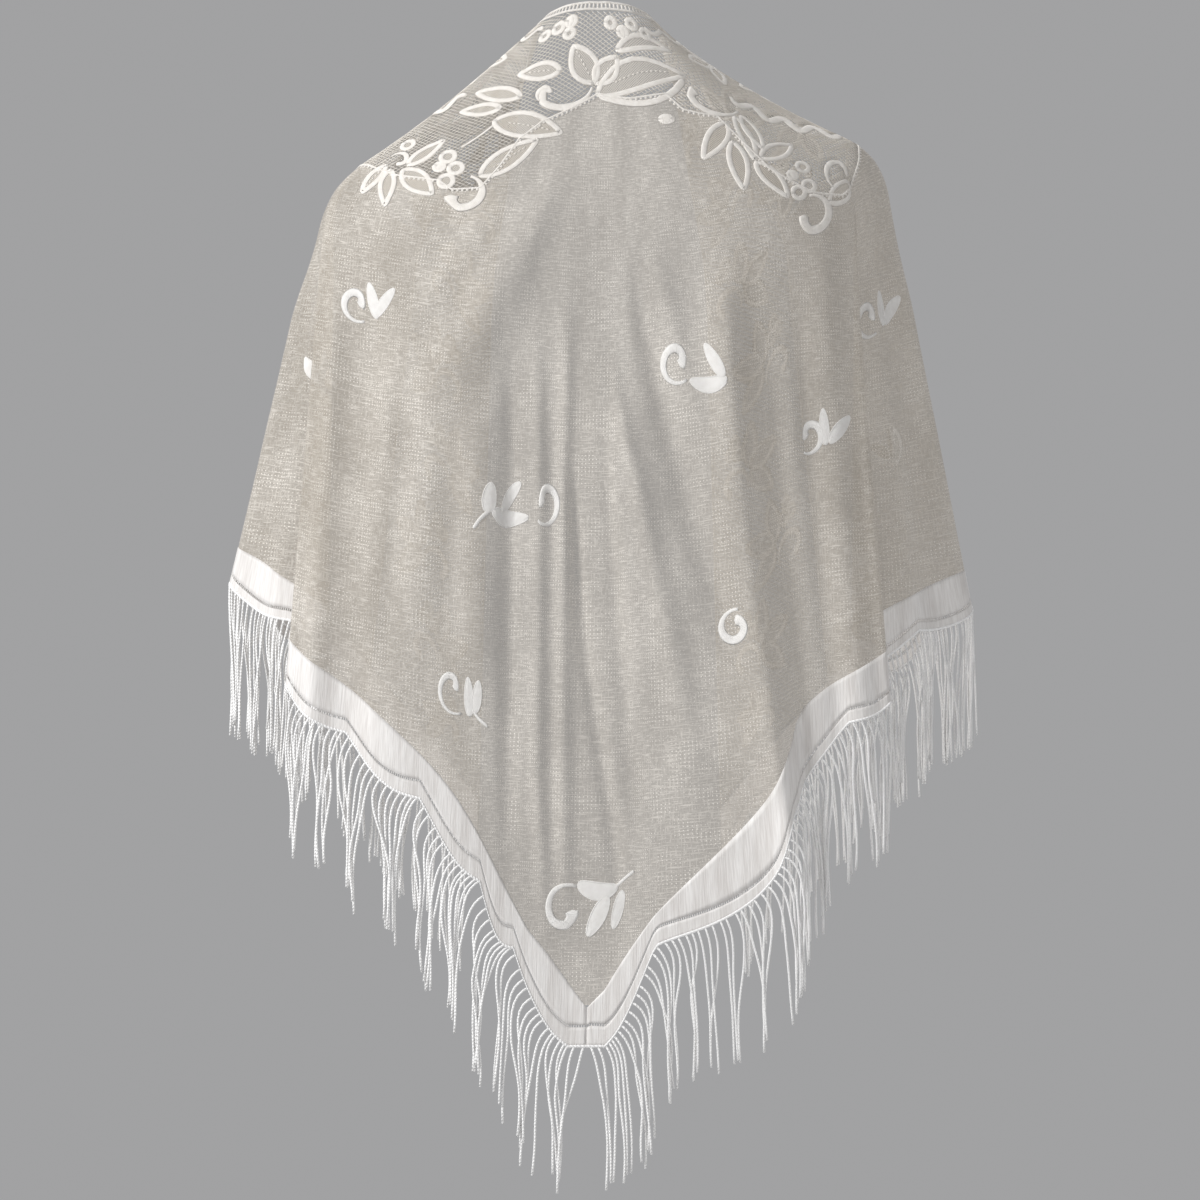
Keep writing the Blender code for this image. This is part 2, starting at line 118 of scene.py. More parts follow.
CENTRE = Fall("centre back", (0.0, 0.066, 0.156), (0.0, 0.13, -0.04), (0.01, 0.165, -0.757), 0.1, 0.034)
LEFT_FALLS = (
    Fall("beside tip", (0.01, 0.066, 0.156), (0.04, 0.131, -0.038), (0.06, 0.165, -0.695), 0.1, 0.037),
    Fall("inner back", (0.026, 0.062, 0.154), (0.1, 0.129, -0.034), (0.125, 0.166, -0.576), 0.095, 0.036),
    Fall("outer back", (0.04, 0.05, 0.15), (0.17, 0.104, -0.022), (0.2, 0.158, -0.504), 0.075, 0.04),
    Fall("fold crest", (0.046, 0.04, 0.147), (0.236, 0.056, -0.008), (0.267, 0.128, -0.446), 0.045, 0.036),
    Fall("fold root", (0.049, 0.03, 0.145), (0.236, 0.036, -0.004), (0.236, 0.098, -0.42), 0.04, 0.034),
    Fall("arm back", (0.051, 0.018, 0.143), (0.24, 0.018, 0.0), (0.294, 0.054, -0.38), 0.04, 0.034),
    Fall("arm side", (0.053, 0.004, 0.139), (0.243, -0.008, -0.001), (0.33, -0.008, -0.36), 0.04, 0.034),
    Fall("arm front", (0.057, -0.018, 0.13), (0.225, -0.058, -0.01), (0.3, -0.092, -0.388), 0.045, 0.035),
    Fall("outer chest", (0.062, -0.036, 0.118), (0.17, -0.098, -0.03), (0.222, -0.15, -0.47), 0.055, 0.036),
    Fall("front edge", (0.07, -0.052, 0.1), (0.1, -0.122, -0.07), (0.115, -0.178, -0.6), 0.06, 0.036),
)
RIGHT_FALLS = (
    Fall("beside tip", (0.01, 0.066, 0.156), (0.038, 0.131, -0.037), (0.047, 0.165, -0.674), 0.1, 0.028),
    Fall("inner back", (0.026, 0.062, 0.154), (0.098, 0.129, -0.028), (0.15, 0.166, -0.604), 0.095, 0.06),
    Fall("outer back", (0.04, 0.05, 0.15), (0.165, 0.104, -0.012), (0.182, 0.158, -0.512), 0.075, 0.048),
    Fall("fold crest", (0.046, 0.04, 0.147), (0.223, 0.056, -0.006), (0.249, 0.128, -0.454), 0.045, 0.036),
    Fall("fold root", (0.049, 0.03, 0.145), (0.23, 0.036, 0.012), (0.222, 0.098, -0.436), 0.04, 0.034),
    Fall("arm back", (0.051, 0.018, 0.143), (0.246, 0.018, 0.024), (0.288, 0.054, -0.4), 0.04, 0.034),
    Fall("arm side", (0.053, 0.004, 0.14), (0.256, -0.008, 0.03), (0.338, -0.008, -0.38), 0.04, 0.034),
    Fall("arm front", (0.057, -0.018, 0.131), (0.234, -0.058, 0.018), (0.302, -0.092, -0.408), 0.045, 0.035),
    Fall("outer chest", (0.062, -0.036, 0.118), (0.174, -0.098, -0.015), (0.225, -0.15, -0.484),
         0.055, 0.036),
    Fall("front edge", (0.07, -0.052, 0.1), (0.102, -0.122, -0.064), (0.118, -0.178, -0.61), 0.06, 0.036),
)

# The folds that the part's own solids have
FOLDS = (
    Fold("left shoulder ridge", 0.008, 0.28, ((0.16, 0.90), (0.50, 2.38), (0.68, 2.48), (0.90, 2.46))),
    Fold("left inner ridge", 0.006, 0.26, ((0.42, 2.00), (0.62, 1.92), (0.84, 1.80))),
    Fold("broad slanting ridge", 0.011, 0.55, ((0.32, 0.10), (0.52, -0.80), (0.74, -1.46), (0.95, -1.92))),
    Fold("right hanging ridge", 0.014, 0.26, ((0.30, -2.00), (0.58, -1.98), (0.76, -2.06), (1.02, -2.30))),
    Fold("right hanging trough", -0.008, 0.24, ((0.42, -2.50), (0.66, -2.58), (1.02, -2.95))),
    Fold("left panel trough", -0.007, 0.26, ((0.40, 3.25), (0.70, 3.30), (1.02, 3.20))),
    Fold("right panel ridge", 0.006, 0.22, ((0.34, -3.40), (0.66, -3.48), (1.02, -3.58))),
    Fold("left arm ridge", 0.008, 0.26, ((0.46, 6.50), (0.75, 6.60), (1.02, 6.65))),
    Fold("right arm ridge", 0.008, 0.26, ((0.44, -6.40), (0.75, -6.55), (1.02, -6.60))),
    Fold("left arm trough", -0.010, 0.26, ((0.40, 7.70), (0.72, 7.75), (1.02, 7.80))),
    Fold("right arm trough", -0.010, 0.26, ((0.42, -7.75), (0.72, -7.70), (1.02, -7.65))),
    Fold("left chest ridge", 0.014, 0.26, ((0.30, 8.40), (0.65, 8.35), (1.02, 8.30))),
    Fold("right chest ridge", 0.013, 0.26, ((0.28, -8.30), (0.65, -8.35), (1.02, -8.40))),
    Fold("left front trough", -0.011, 0.24, ((0.26, 8.95), (0.65, 8.85), (1.02, 8.85))),
    Fold("right front trough", -0.010, 0.24, ((0.30, -8.90), (0.65, -8.90), (1.02, -8.95))),
    Fold("left front ridge", 0.010, 0.22, ((0.20, 9.55), (0.65, 9.45), (1.02, 9.40))),
    Fold("right front ridge", 0.011, 0.22, ((0.22, -9.50), (0.65, -9.45), (1.02, -9.45))),
)

# Finer creases of the dressed cloth, on its seen and its hidden sides alike
CREASES = (
    Fold("left edge crease", 0.0030, 0.15, ((0.34, 4.22), (0.66, 4.12), (1.02, 4.05))),
    Fold("left panel crease", 0.0050, 0.14, ((0.38, 3.72), (0.70, 3.66), (1.02, 3.58))),
    Fold("left slanting crease", -0.0040, 0.14, ((0.44, 2.92), (0.60, 2.82), (0.92, 2.90))),
    Fold("left shoulder crease", 0.0026, 0.16, ((0.20, 1.60), (0.44, 2.70), (0.58, 3.10))),
    Fold("left inner crease", -0.0048, 0.14, ((0.36, 1.52), (0.64, 1.44), (0.96, 1.30))),
    Fold("centre left crease", 0.0042, 0.15, ((0.28, 0.66), (0.62, 0.58), (0.92, 0.40))),
    Fold("centre hollow", -0.0038, 0.16, ((0.36, -0.12), (0.62, -0.52), (0.90, -0.95))),
    Fold("right inner crease", -0.0050, 0.14, ((0.26, -0.75), (0.48, -1.30), (0.80, -1.95))),
    Fold("right nape crease", 0.0044, 0.15, ((0.24, -1.10), (0.50, -1.68), (0.66, -1.86))),
    Fold("right slanting crease", 0.0052, 0.12, ((0.34, -0.30), (0.50, -0.86), (0.68, -1.22), (0.88, -1.46))),
    Fold("centre slanting crease", -0.0044, 0.13, ((0.40, 0.62), (0.60, 0.24), (0.80, -0.42), (0.94, -0.70))),
    Fold("left back crease", 0.0044, 0.13, ((0.34, 1.18), (0.56, 1.04), (0.78, 0.96), (0.94, 0.76))),
    Fold("right outer crease", -0.0042, 0.12, ((0.42, -3.05), (0.72, -3.24), (1.02, -3.38))),
    Fold("right panel crease", 0.0048, 0.13, ((0.40, -3.86), (0.68, -3.90), (1.02, -3.98))),
    Fold("right edge crease", -0.0028, 0.13, ((0.36, -4.28), (0.68, -4.30), (1.02, -4.34))),
    Fold("left arm back crease", 0.0036, 0.16, ((0.42, 5.72), (0.74, 5.82), (1.02, 5.86))),
    Fold("left arm side crease", -0.0040, 0.18, ((0.36, 7.06), (0.70, 7.14), (1.02, 7.20))),
    Fold("left sleeve crease", 0.0030, 0.15, ((0.50, 7.36), (0.78, 7.42), (1.02, 7.40))),
    Fold("left chest crease", 0.0036, 0.15, ((0.34, 8.02), (0.66, 8.06), (0.94, 8.02))),
    Fold("right arm back crease", 0.0034, 0.16, ((0.44, -5.66), (0.72, -5.80), (1.02, -5.90))),
    Fold("right arm side crease", -0.0040, 0.18, ((0.38, -6.98), (0.72, -7.06), (1.02, -7.12))),
    Fold("right sleeve crease", 0.0030, 0.15, ((0.48, -7.34), (0.80, -7.36), (1.02, -7.30))),
    Fold("right chest crease", 0.0034, 0.15, ((0.32, -8.00), (0.64, -8.06), (0.96, -8.10))),
    Fold("left front crease", -0.0030, 0.14, ((0.34, 9.20), (0.62, 9.16), (0.96, 9.18))),
    Fold("right front crease", -0.0030, 0.14, ((0.30, -9.22), (0.66, -9.18), (0.98, -9.20))),
)


@dataclass
class Drape:
    """The worn surface of the shawl, sampled once on a dense grid and read between its points."""

    last: int = len(LEFT_FALLS)
    folds: tuple[Fold, ...] = FOLDS + CREASES
    tip_half_lines: float = 0.30
    tip_rise: float = 0.018
    left_notches: tuple[float, ...] = (0.014, 0.112, 0.176, 0.264)
    right_notches: tuple[float, ...] = (0.014, 0.114, 0.280, 0.380)
    lobe_length: float = 0.088
    lobe_depth: float = 0.0085
    slope_lines: tuple[float, ...] = (0, 1, 2, 3, 4, 6, 8, 10)
    left_reach: tuple[float, ...] = (2.0, 2.0, 2.0, 1.4, 1.25, 1.1, 1.2, 1.6)
    right_reach: tuple[float, ...] = (2.2, 1.8, 1.3, 1.5, 1.25, 1.1, 1.2, 1.6)
    neck_dip: float = 0.008
    most_bent: float = 0.45
    fold_fade: float = 0.14
    probe: float = 0.02
    hem_steps: int = 40
    grid_lines: int = 1201
    grid_shares: int = 361

    def __post_init__(self) -> None:
        """Sample the surface."""
        self.stations = self._station_table()
        steps = np.linspace(0, self.last, self.hem_steps * self.last + 1)
        self.hem_runs = {side: (steps, runs_along(self.falls(side * steps)[:, HEM])) for side in (-1, 1)}
        self.lines = np.linspace(-self.last, self.last, self.grid_lines)
        self.shares = np.linspace(0.0, 1.0, self.grid_shares)
        self.lengths = self.full_length(self.lines)
        line, share = np.meshgrid(self.lines, self.shares, indexing="ij")
        self.points = self.cloth(line.ravel(), share.ravel()).reshape(*line.shape, 3)
        self.normals = unit(np.cross(np.gradient(self.points, axis=0), np.gradient(self.points, axis=1)))

    def _station_table(self) -> Array:
        """All fall lines from the right front edge round the back to the left one, one row each."""
        def numbers(fall: Fall, side: int) -> list[float]:
            """One fall line as a row of numbers."""
            points = [(side * out, y, z) for out, y, z in (fall.neck, fall.shoulder, fall.hem)]
            return [value for point in points for value in point] + [fall.rounding, fall.border]

        right = [numbers(fall, -1) for fall in reversed(RIGHT_FALLS)]
        left = [numbers(fall, 1) for fall in LEFT_FALLS]
        table = np.array(right + [numbers(CENTRE, 1)] + left)
        return np.vstack([2 * table[0] - table[1], table, 2 * table[-1] - table[-2]])

    def falls(self, lines: Array) -> Array:
        """Neck, shoulder and hem points, rounding and border width of fall lines.

        Args:
            lines: Fall lines, whole or between two.

        Returns:
            One row of 11 numbers for each line.
        """
        lines = np.atleast_1d(np.asarray(lines, float))
        place = np.clip(lines + self.last, 0.0, 2.0 * self.last)
        first = np.minimum(place.astype(int), 2 * self.last - 1)
        t = (place - first)[:, None]
        a, b, c, d = (self.stations[first + step] for step in range(4))
        bent = (2 * a - 5 * b + 4 * c - d) * t**2 + (3 * b - a - 3 * c + d) * t**3
        rows = 0.5 * (2 * b + (c - a) * t + bent)
        near = np.abs(lines) < 1
        side = np.where(lines > 0, LEFT_FALLS[0].hem[2], RIGHT_FALLS[0].hem[2])
        climb = np.clip((np.abs(lines) - self.tip_half_lines) / (1 - self.tip_half_lines), 0, 1)
        rows[near, HEM_HEIGHT] = (CENTRE.hem[2] + (side - CENTRE.hem[2]) * climb)[near]
        return rows

    def bare_length(self, lines: Array) -> Array:
        """Lengths of fall lines without their scallops."""
        rows = self.falls(lines)
        neck, shoulder, hem = rows[:, NECK], rows[:, SHOULDER], rows[:, HEM]
        return np.linalg.norm(shoulder - neck, axis=1) + np.linalg.norm(hem - shoulder, axis=1)

    def hem_distance(self, lines: Array) -> Array:
        """Distance along the hem from the tip, positive on the left side."""
        lines = np.atleast_1d(np.asarray(lines, float))
        sides = [np.interp(np.abs(lines), *self.hem_runs[side]) for side in (1, -1)]
        return np.where(lines >= 0, sides[0], -sides[1])

    def lobe_reach(self, lines: Array) -> Array:
        """How far lobes reach down fall lines for each unit of their depth."""
        reaches = (self.left_reach, self.right_reach)
        return np.where(lines >= 0, *(np.interp(np.abs(lines), self.slope_lines, reach) for reach in reaches))

    def full_length(self, lines: Array) -> Array:
        """Lengths of fall lines down to the scalloped hem."""
        lines = np.atleast_1d(np.asarray(lines, float))
        along = np.abs(self.hem_distance(lines))
        lobes = [
            np.interp(along, notches, range(len(notches)))
            + np.maximum(along - notches[-1], 0) / self.lobe_length
            for notches in (self.left_notches, self.right_notches)
        ]
        bulge = np.abs(np.sin(math.pi * np.where(lines >= 0, *lobes)))
        return self.bare_length(lines) + self.lobe_depth * self.lobe_reach(lines) * bulge

    def band_top(self, lines: Array) -> Array:
        """Distance down fall lines where the border starts."""
        rise = self.tip_rise * np.interp(np.abs(lines), (0, self.tip_half_lines, 1), (0, 1, 0))
        return self.bare_length(lines) - self.falls(lines)[:, BORDER_WIDTH] - rise

    def draped(self, lines: Array, shares: Array) -> Array:
        """Points of the smooth drape, before the folds."""
        rows = self.falls(lines)
        neck, shoulder, hem = rows[:, NECK], rows[:, SHOULDER], rows[:, HEM]
        upper = np.linalg.norm(shoulder - neck, axis=1)
        lower = np.linalg.norm(hem - shoulder, axis=1)
        over = (shoulder - neck) / upper[:, None]
        down = (hem - shoulder) / lower[:, None]
        distance = shares * self.full_length(lines)
        reach = np.minimum(rows[:, ROUNDING], self.most_bent * np.minimum(upper, lower))
        t = np.clip((distance - upper + reach) / (2 * reach), 0, 1)[:, None]
        start = shoulder - over * reach[:, None]
        end = shoulder + down * reach[:, None]
        point = (1 - t) ** 2 * start + 2 * t * (1 - t) * shoulder + t**2 * end
        above = (distance <= upper - reach)[:, None]
        below = (distance >= upper + reach)[:, None]
        point = np.where(above, neck + over * distance[:, None], point)
        point = np.where(below, shoulder + down * (distance - upper)[:, None], point)
        point[:, 2] -= self.neck_dip * np.sin(math.pi * np.minimum(distance / upper, 1.0))
        return point

    def fold_height(self, lines: Array, shares: Array) -> Array:
        """Sum of the folds' heights at places of the cloth."""
        total = np.zeros_like(lines)
        for fold in self.folds:
            path_shares, path_lines = zip(*fold.path)
            centre = np.interp(shares, path_shares, path_lines)
            fade = eased(np.clip((shares - path_shares[0]) / self.fold_fade, 0, 1))
            if path_shares[-1] < 1:
                fade = fade * eased(np.clip((path_shares[-1] - shares) / self.fold_fade, 0, 1))
            total += fold.height * fade * np.exp(-(((lines - centre) / fold.half_width) ** 2))
        return total

    def cloth(self, lines: Array, shares: Array) -> Array:
        """Points of the cloth's middle surface with its folds."""
        across = self.draped(np.minimum(lines + self.probe, self.last), shares)
        across -= self.draped(np.maximum(lines - self.probe, -self.last), shares)
        along = self.draped(lines, np.minimum(shares + self.probe, 1.0))
        along -= self.draped(lines, np.maximum(shares - self.probe, 0.0))
        normal = unit(np.cross(across, along))
        return self.draped(lines, shares) + normal * self.fold_height(lines, shares)[:, None]

    def read(self, lines: Array, distances: Array) -> tuple[Array, Array]:
        """Points and outward normals of the cloth.

        Args:
            lines: Fall lines of the places.
            distances: Distances down them from the neck edge.

        Returns:
            The points and the normals, one row a place.
        """
        shares = np.clip(distances / np.interp(lines, self.lines, self.lengths), 0, 1)
        x = np.clip((lines + self.last) / (2 * self.last) * (self.grid_lines - 1), 0, self.grid_lines - 1.001)
        y = np.clip(shares * (self.grid_shares - 1), 0, self.grid_shares - 1.001)
        i, j = x.astype(int), y.astype(int)
        u, v = (x - i)[:, None], (y - j)[:, None]
        found = []
        for grid in (self.points, self.normals):
            top = grid[i, j] * (1 - u) + grid[i + 1, j] * u
            foot = grid[i, j + 1] * (1 - u) + grid[i + 1, j + 1] * u
            found.append(top * (1 - v) + foot * v)
        return found[0], unit(found[1])


class Side(Enum):
    """A side of the wearer, with the sign of its fall lines."""

    LEFT = 1
    RIGHT = -1


@dataclass
class Layout:
    """A lay of cloth flat, with its first axis to the left and its second one up, in metres."""

    drape: Drape

    def down_angle(self, spot: tuple[float, float]) -> float:
        """Direction of down at a spot of the flat lay, in radians."""
        return -math.pi / 2


@dataclass
class YokeLayout(Layout):
    """The yoke laid flat, where it is part of a ring round the neck.

    A spot is (degrees round from the centre back with the left side's positive, distance down from the
    neck edge).
    """

    neck_radius: float = 0.088
    level: float = 0.12

    def __post_init__(self) -> None:
        """Measure how far round each fall line lies."""
        points, _ = self.drape.read(self.drape.lines, np.full(len(self.drape.lines), self.level))
        runs = runs_along(points)
        self.angles = (runs - np.interp(0.0, self.drape.lines, runs)) / (self.neck_radius + self.level)

    def flat(self, spot: tuple[float, float]) -> Array:
        """Flat place of a spot."""
        angle, reach = math.radians(spot[0]), self.neck_radius + spot[1]
        return np.array((reach * math.sin(angle), -reach * math.cos(angle)))

    def place(self, flat: Array) -> tuple[Array, Array]:
        """Fall lines and distances down them of flat places, one row each."""
        angles = np.arctan2(flat[:, 0], -flat[:, 1])
        return np.interp(angles, self.angles, self.drape.lines), np.hypot(*flat.T) - self.neck_radius

    def laid(self, lines: Array, distances: Array) -> Array:
        """Flat places of fall lines and distances down them."""
        angles = np.interp(lines, self.drape.lines, self.angles)
        reach = self.neck_radius + distances
        return np.stack([reach * np.sin(angles), -reach * np.cos(angles)], axis=-1)

    def shifted(self, spot: tuple[float, float], across: float, down: float) -> tuple[float, float]:
        """A spot moved across and down, in metres."""
        return spot[0] + math.degrees(across / (self.neck_radius + spot[1] + down)), spot[1] + down

    def down_angle(self, spot: tuple[float, float]) -> float:
        """Direction of down at a spot of the flat lay, in radians."""
        return math.radians(spot[0]) - math.pi / 2


@dataclass
class FieldLayout(Layout):
    """The hanging cloth laid flat: distance round from the centre back, and height from the bend over."""

    shares: tuple[float, ...] = (0.35, 0.45, 0.55, 0.65, 0.75, 0.85, 0.95)

    def __post_init__(self) -> None:
        """Measure how far round each fall line hangs."""
        drape = self.drape
        rows = [drape.read(drape.lines, share * drape.lengths)[0] for share in self.shares]
        steps = np.linalg.norm(np.diff(np.array(rows), axis=1), axis=2).mean(axis=0)
        runs = np.concatenate([[0.0], np.cumsum(steps)])
        self.runs = runs - np.interp(0.0, drape.lines, runs)
        falls = drape.falls(drape.lines)
        self.bends = np.linalg.norm(falls[:, SHOULDER] - falls[:, NECK], axis=1)

    def flat(self, spot: tuple[float, float]) -> Array:
        """Flat place of a spot."""
        return np.array(spot, float)

    def place(self, flat: Array) -> tuple[Array, Array]:
        """Fall lines and distances down them of flat places, one row each."""
        lines = np.interp(flat[:, 0], self.runs, self.drape.lines)
        return lines, np.interp(lines, self.drape.lines, self.bends) - flat[:, 1]

    def laid(self, lines: Array, distances: Array) -> Array:
        """Flat places of fall lines and distances down them."""
        across = np.interp(lines, self.drape.lines, self.runs)
        return np.stack([across, np.interp(lines, self.drape.lines, self.bends) - distances], axis=-1)

    def shifted(self, spot: tuple[float, float], across: float, down: float) -> tuple[float, float]:
        """A spot moved across and down, in metres."""
        return spot[0] + across, spot[1] - down


@dataclass
class FrontLayout(Layout):
    """The lace of one front edge laid flat: distance in from the edge, and height below the neck edge."""

    side: Side
    first_line: int = 9

    def __post_init__(self) -> None:
        """Measure how wide the band of lace is all the way down."""
        drape = self.drape
        inside = np.abs(drape.lines * self.side.value - (self.first_line + drape.last) / 2) <= 0.5
        self.widths = np.linalg.norm(np.diff(drape.points[inside], axis=0), axis=2).sum(axis=0)
        self.downs = drape.shares * float(drape.full_length(self.side.value * drape.last)[0])

    def flat(self, spot: tuple[float, float]) -> Array:
        """Flat place of a spot, which is (share of the width in from the edge, distance down)."""
        return np.array((-self.side.value * spot[0] * np.interp(spot[1], self.downs, self.widths), -spot[1]))

    def place(self, flat: Array) -> tuple[Array, Array]:
        """Fall lines and distances down them of flat places, one row each."""
        share = -self.side.value * flat[:, 0] / np.interp(-flat[:, 1], self.downs, self.widths)
        return self.side.value * (self.drape.last - share), -flat[:, 1]

    def laid(self, lines: Array, distances: Array) -> Array:
        """Flat places of fall lines and distances down them."""
        share = self.drape.last - np.abs(lines)
        across = -self.side.value * share * np.interp(distances, self.downs, self.widths)
        return np.stack([across, -distances], axis=-1)

    def shifted(self, spot: tuple[float, float], across: float, down: float) -> tuple[float, float]:
        """A spot moved across and down, in metres."""
        width = float(np.interp(spot[1], self.downs, self.widths))
        return spot[0] - self.side.value * across / width, spot[1] + down


@dataclass
class MeshParts:
    """Vertices, faces and flat coordinates gathered for one piece."""

    points: list[Array] = field(default_factory=list)
    faces: list[Array] = field(default_factory=list)
    ends: list[list[int]] = field(default_factory=list)
    laid: list[Array] = field(default_factory=list)
    finishes: list[int] = field(default_factory=list)
    end_finishes: list[int] = field(default_factory=list)
    count: int = 0

    def add(self, points: Array, faces: Array, laid: Array, ends: list[list[int]] | None = None) -> None:
        """Add one part.

        Args:
            points: Its vertices.
            faces: Its four-sided faces, numbered from its own first vertex.
            laid: Flat coordinates of its vertices, in metres.
            ends: Its faces of other counts.
        """
        self.points.append(points)
        self.faces.append(faces + self.count)
        self.laid.append(laid)
        self.ends += [[corner + self.count for corner in end] for end in ends or []]
        self.finishes.append(0)
        self.end_finishes += [0] * len(ends or [])
        self.count += len(points)

    def take(self, other: "MeshParts", finish: int) -> None:
        """Add all that another has gathered, with a finish of its own."""
        self.points += other.points
        self.laid += other.laid
        self.faces += [faces + self.count for faces in other.faces]
        self.ends += [[corner + self.count for corner in end] for end in other.ends]
        self.finishes += [finish] * len(other.faces)
        self.end_finishes += [finish] * len(other.ends)
        self.count += other.count

    def piece(self, name: str, *materials: bpy.types.Material) -> Piece:
        """Make the object of all the parts, with its flat coordinates as a UV map."""
        mesh = bpy.data.meshes.new(name)
        faces = [tuple(face) for face in [*np.concatenate(self.faces).tolist(), *self.ends]]
        mesh.from_pydata(np.concatenate(self.points).tolist(), [], faces)
        laid = np.concatenate(self.laid)
        corners = np.zeros(len(mesh.loops), np.int32)
        mesh.loops.foreach_get("vertex_index", corners)
        mesh.uv_layers.new(name="flat").data.foreach_set("uv", laid[corners].astype(np.float32).ravel())
        mesh.shade_smooth()
        for material in materials:
            mesh.materials.append(material)
        finishes = np.repeat(self.finishes, [len(block) for block in self.faces])
        finishes = np.concatenate([finishes, self.end_finishes]).astype(np.int32)
        mesh.polygons.foreach_set("material_index", finishes)
        piece = bpy.data.objects.new(name, mesh)
        bpy.context.scene.collection.objects.link(piece)
        return piece


def grid_faces(across: int, down: int) -> Array:
    """Four-sided faces of a grid of vertices that is numbered along down first."""
    i, j = np.meshgrid(np.arange(across - 1), np.arange(down - 1), indexing="ij")
    first = (i * down + j).ravel()
    return np.stack([first, first + down, first + down + 1, first + 1], axis=1)


def add_sheet(parts: MeshParts, points: Array, laid: Array) -> None:
    """Add a single layer of cloth.

    Args:
        parts: Where it is gathered.
        points: Its vertices, by (across, down).
        laid: Their flat coordinates.
    """
    across, down = points.shape[:2]
    parts.add(points.reshape(-1, 3), grid_faces(across, down), laid.reshape(-1, 2))


def add_shell(parts: MeshParts, points: Array, normals: Array, thickness: float, laid: Array) -> None:
    """Add a closed strip of cloth with a real thickness.

    Args:
        parts: Where it is gathered.
        points: Its middle surface, by (across, down).
        normals: The outward normals there.
        thickness: The cloth's thickness.
        laid: The flat coordinates.
    """
    across, down = points.shape[:2]
    outer = (points + normals * thickness / 2).reshape(-1, 3)
    inner = (points - normals * thickness / 2).reshape(-1, 3)
    count = across * down
    front = grid_faces(across, down)
    back = front[:, ::-1] + count
    i, j = np.arange(across), np.arange(down)
    rims = []
    for edge in (i * down, (i * down + down - 1)[::-1], j[::-1], (across - 1) * down + j):
        rims.append(np.stack([edge[1:], edge[:-1], edge[:-1] + count, edge[1:] + count], axis=1))
    faces = np.vstack([front, back, *rims])
    parts.add(np.vstack([outer, inner]), faces, np.vstack([laid.reshape(-1, 2)] * 2))


def add_tube(parts: MeshParts, rings: Array, runs: Array, closed: bool = False) -> None:
    """Add a cord from the rings of vertices round it.

    Args:
        parts: Where it is gathered.
        rings: The vertices, by (station, place round).
        runs: Distance along the cord of each station.
        closed: True where the last ring joins the first one.
    """
    stations, sides = rings.shape[:2]
    k, i = np.meshgrid(np.arange(stations if closed else stations - 1), np.arange(sides), indexing="ij")
    after, beside = (k + 1) % stations, (i + 1) % sides
    faces = np.stack([k * sides + i, k * sides + beside, after * sides + beside, after * sides + i], axis=-1)
    girth = np.linalg.norm(rings - np.roll(rings, 1, axis=1), axis=2).sum(axis=1).mean()
    round_it = np.linspace(0, girth, sides, endpoint=False)
    laid = np.stack(np.broadcast_arrays(runs[:, None], round_it[None, :]), axis=-1)
    last = (stations - 1) * sides
    ends = [] if closed else [list(range(sides))[::-1], [last + side for side in range(sides)]]
    parts.add(rings.reshape(-1, 3), faces.reshape(-1, 4), laid.reshape(-1, 2), ends)


# Profiles of what lies on the cloth, as (share of the half width, share of the height), over the top
BAND_PROFILE = np.array(((-1.0, 0.0), (-0.6, 0.85), (0.6, 0.85), (1.0, 0.0), (0.5, -0.4), (-0.5, -0.4)))
THREAD_PROFILE = np.array(((-1.0, -0.5), (0.0, 1.0), (1.0, -0.5)))


@dataclass
class Needle:
    """Lays cords and fills on the cloth by their places in a flat lay."""

    drape: Drape
    layout: Layout

    def on_cloth(self, flat: Array) -> tuple[Array, Array]:
        """Points and outward normals of flat places."""
        return self.drape.read(*self.layout.place(flat))

    def cord(
        self, parts: MeshParts, path: Array, half: Array | float, height: float, lift: float = 0.0,
        closed: bool = False, profile: Array = BAND_PROFILE,
    ) -> None:
        """Lay a cord or a raised band along a path.

        Args:
            parts: Where it is gathered.
            path: Its middle line in the flat lay.
            half: Its half width, the same all along or one value a point.
            height: How far it stands proud.
            lift: How far its own foot lies above the cloth's middle surface.
            closed: True where it ends where it starts.
            profile: Its cross-section.
        """
        if closed:
            ahead, behind = np.roll(path, -1, axis=0), np.roll(path, 1, axis=0)
        else:
            ahead, behind = np.vstack([path[1:], path[-1:]]), np.vstack([path[:1], path[:-1]])
        tangent = ahead - behind
        tangent /= np.maximum(np.linalg.norm(tangent, axis=1, keepdims=True), 1e-9)
        side = np.stack([-tangent[:, 1], tangent[:, 0]], axis=1)
        width = np.broadcast_to(np.asarray(half, float), (len(path),))
        offsets = profile[None, :, 0] * width[:, None]
        flat = path[:, None, :] + side[:, None, :] * offsets[:, :, None]
        points, normals = self.on_cloth(flat.reshape(-1, 2))
        raised = np.tile(profile[:, 1] * height + lift, len(path))
        rings = (points + normals * raised[:, None]).reshape(len(path), len(profile), 3)
        add_tube(parts, rings, runs_along(path), closed)

    def fill(self, parts: MeshParts, flat: Array, lift: float, crown: float = 0.0) -> None:
        """Lay a single layer inside a motif.

        Args:
            parts: Where it is gathered.
            flat: Its places in the flat lay, by (right edge to left edge, along).
            lift: How far it lies above the cloth's middle surface.
            crown: How much further its middle stands proud.
        """
        points, normals = self.on_cloth(flat.reshape(-1, 2))
        across = np.linspace(-1, 1, flat.shape[0])
        raised = np.repeat(lift + crown * (1 - across**2), flat.shape[1])
        add_sheet(parts, (points + normals * raised[:, None]).reshape(*flat.shape[:2], 3), flat)


# How a leaf fills out between its ends and leans to its base, and how its veins are stitched along it
POINTED_ENDS, BLUNT_ENDS = 0.8, 0.5
BASE_LEAN = 0.82
VEIN_STITCH, VEIN_GAP = 0.0026, 0.0018
VEIN_START, VEIN_END = 0.22, 0.80


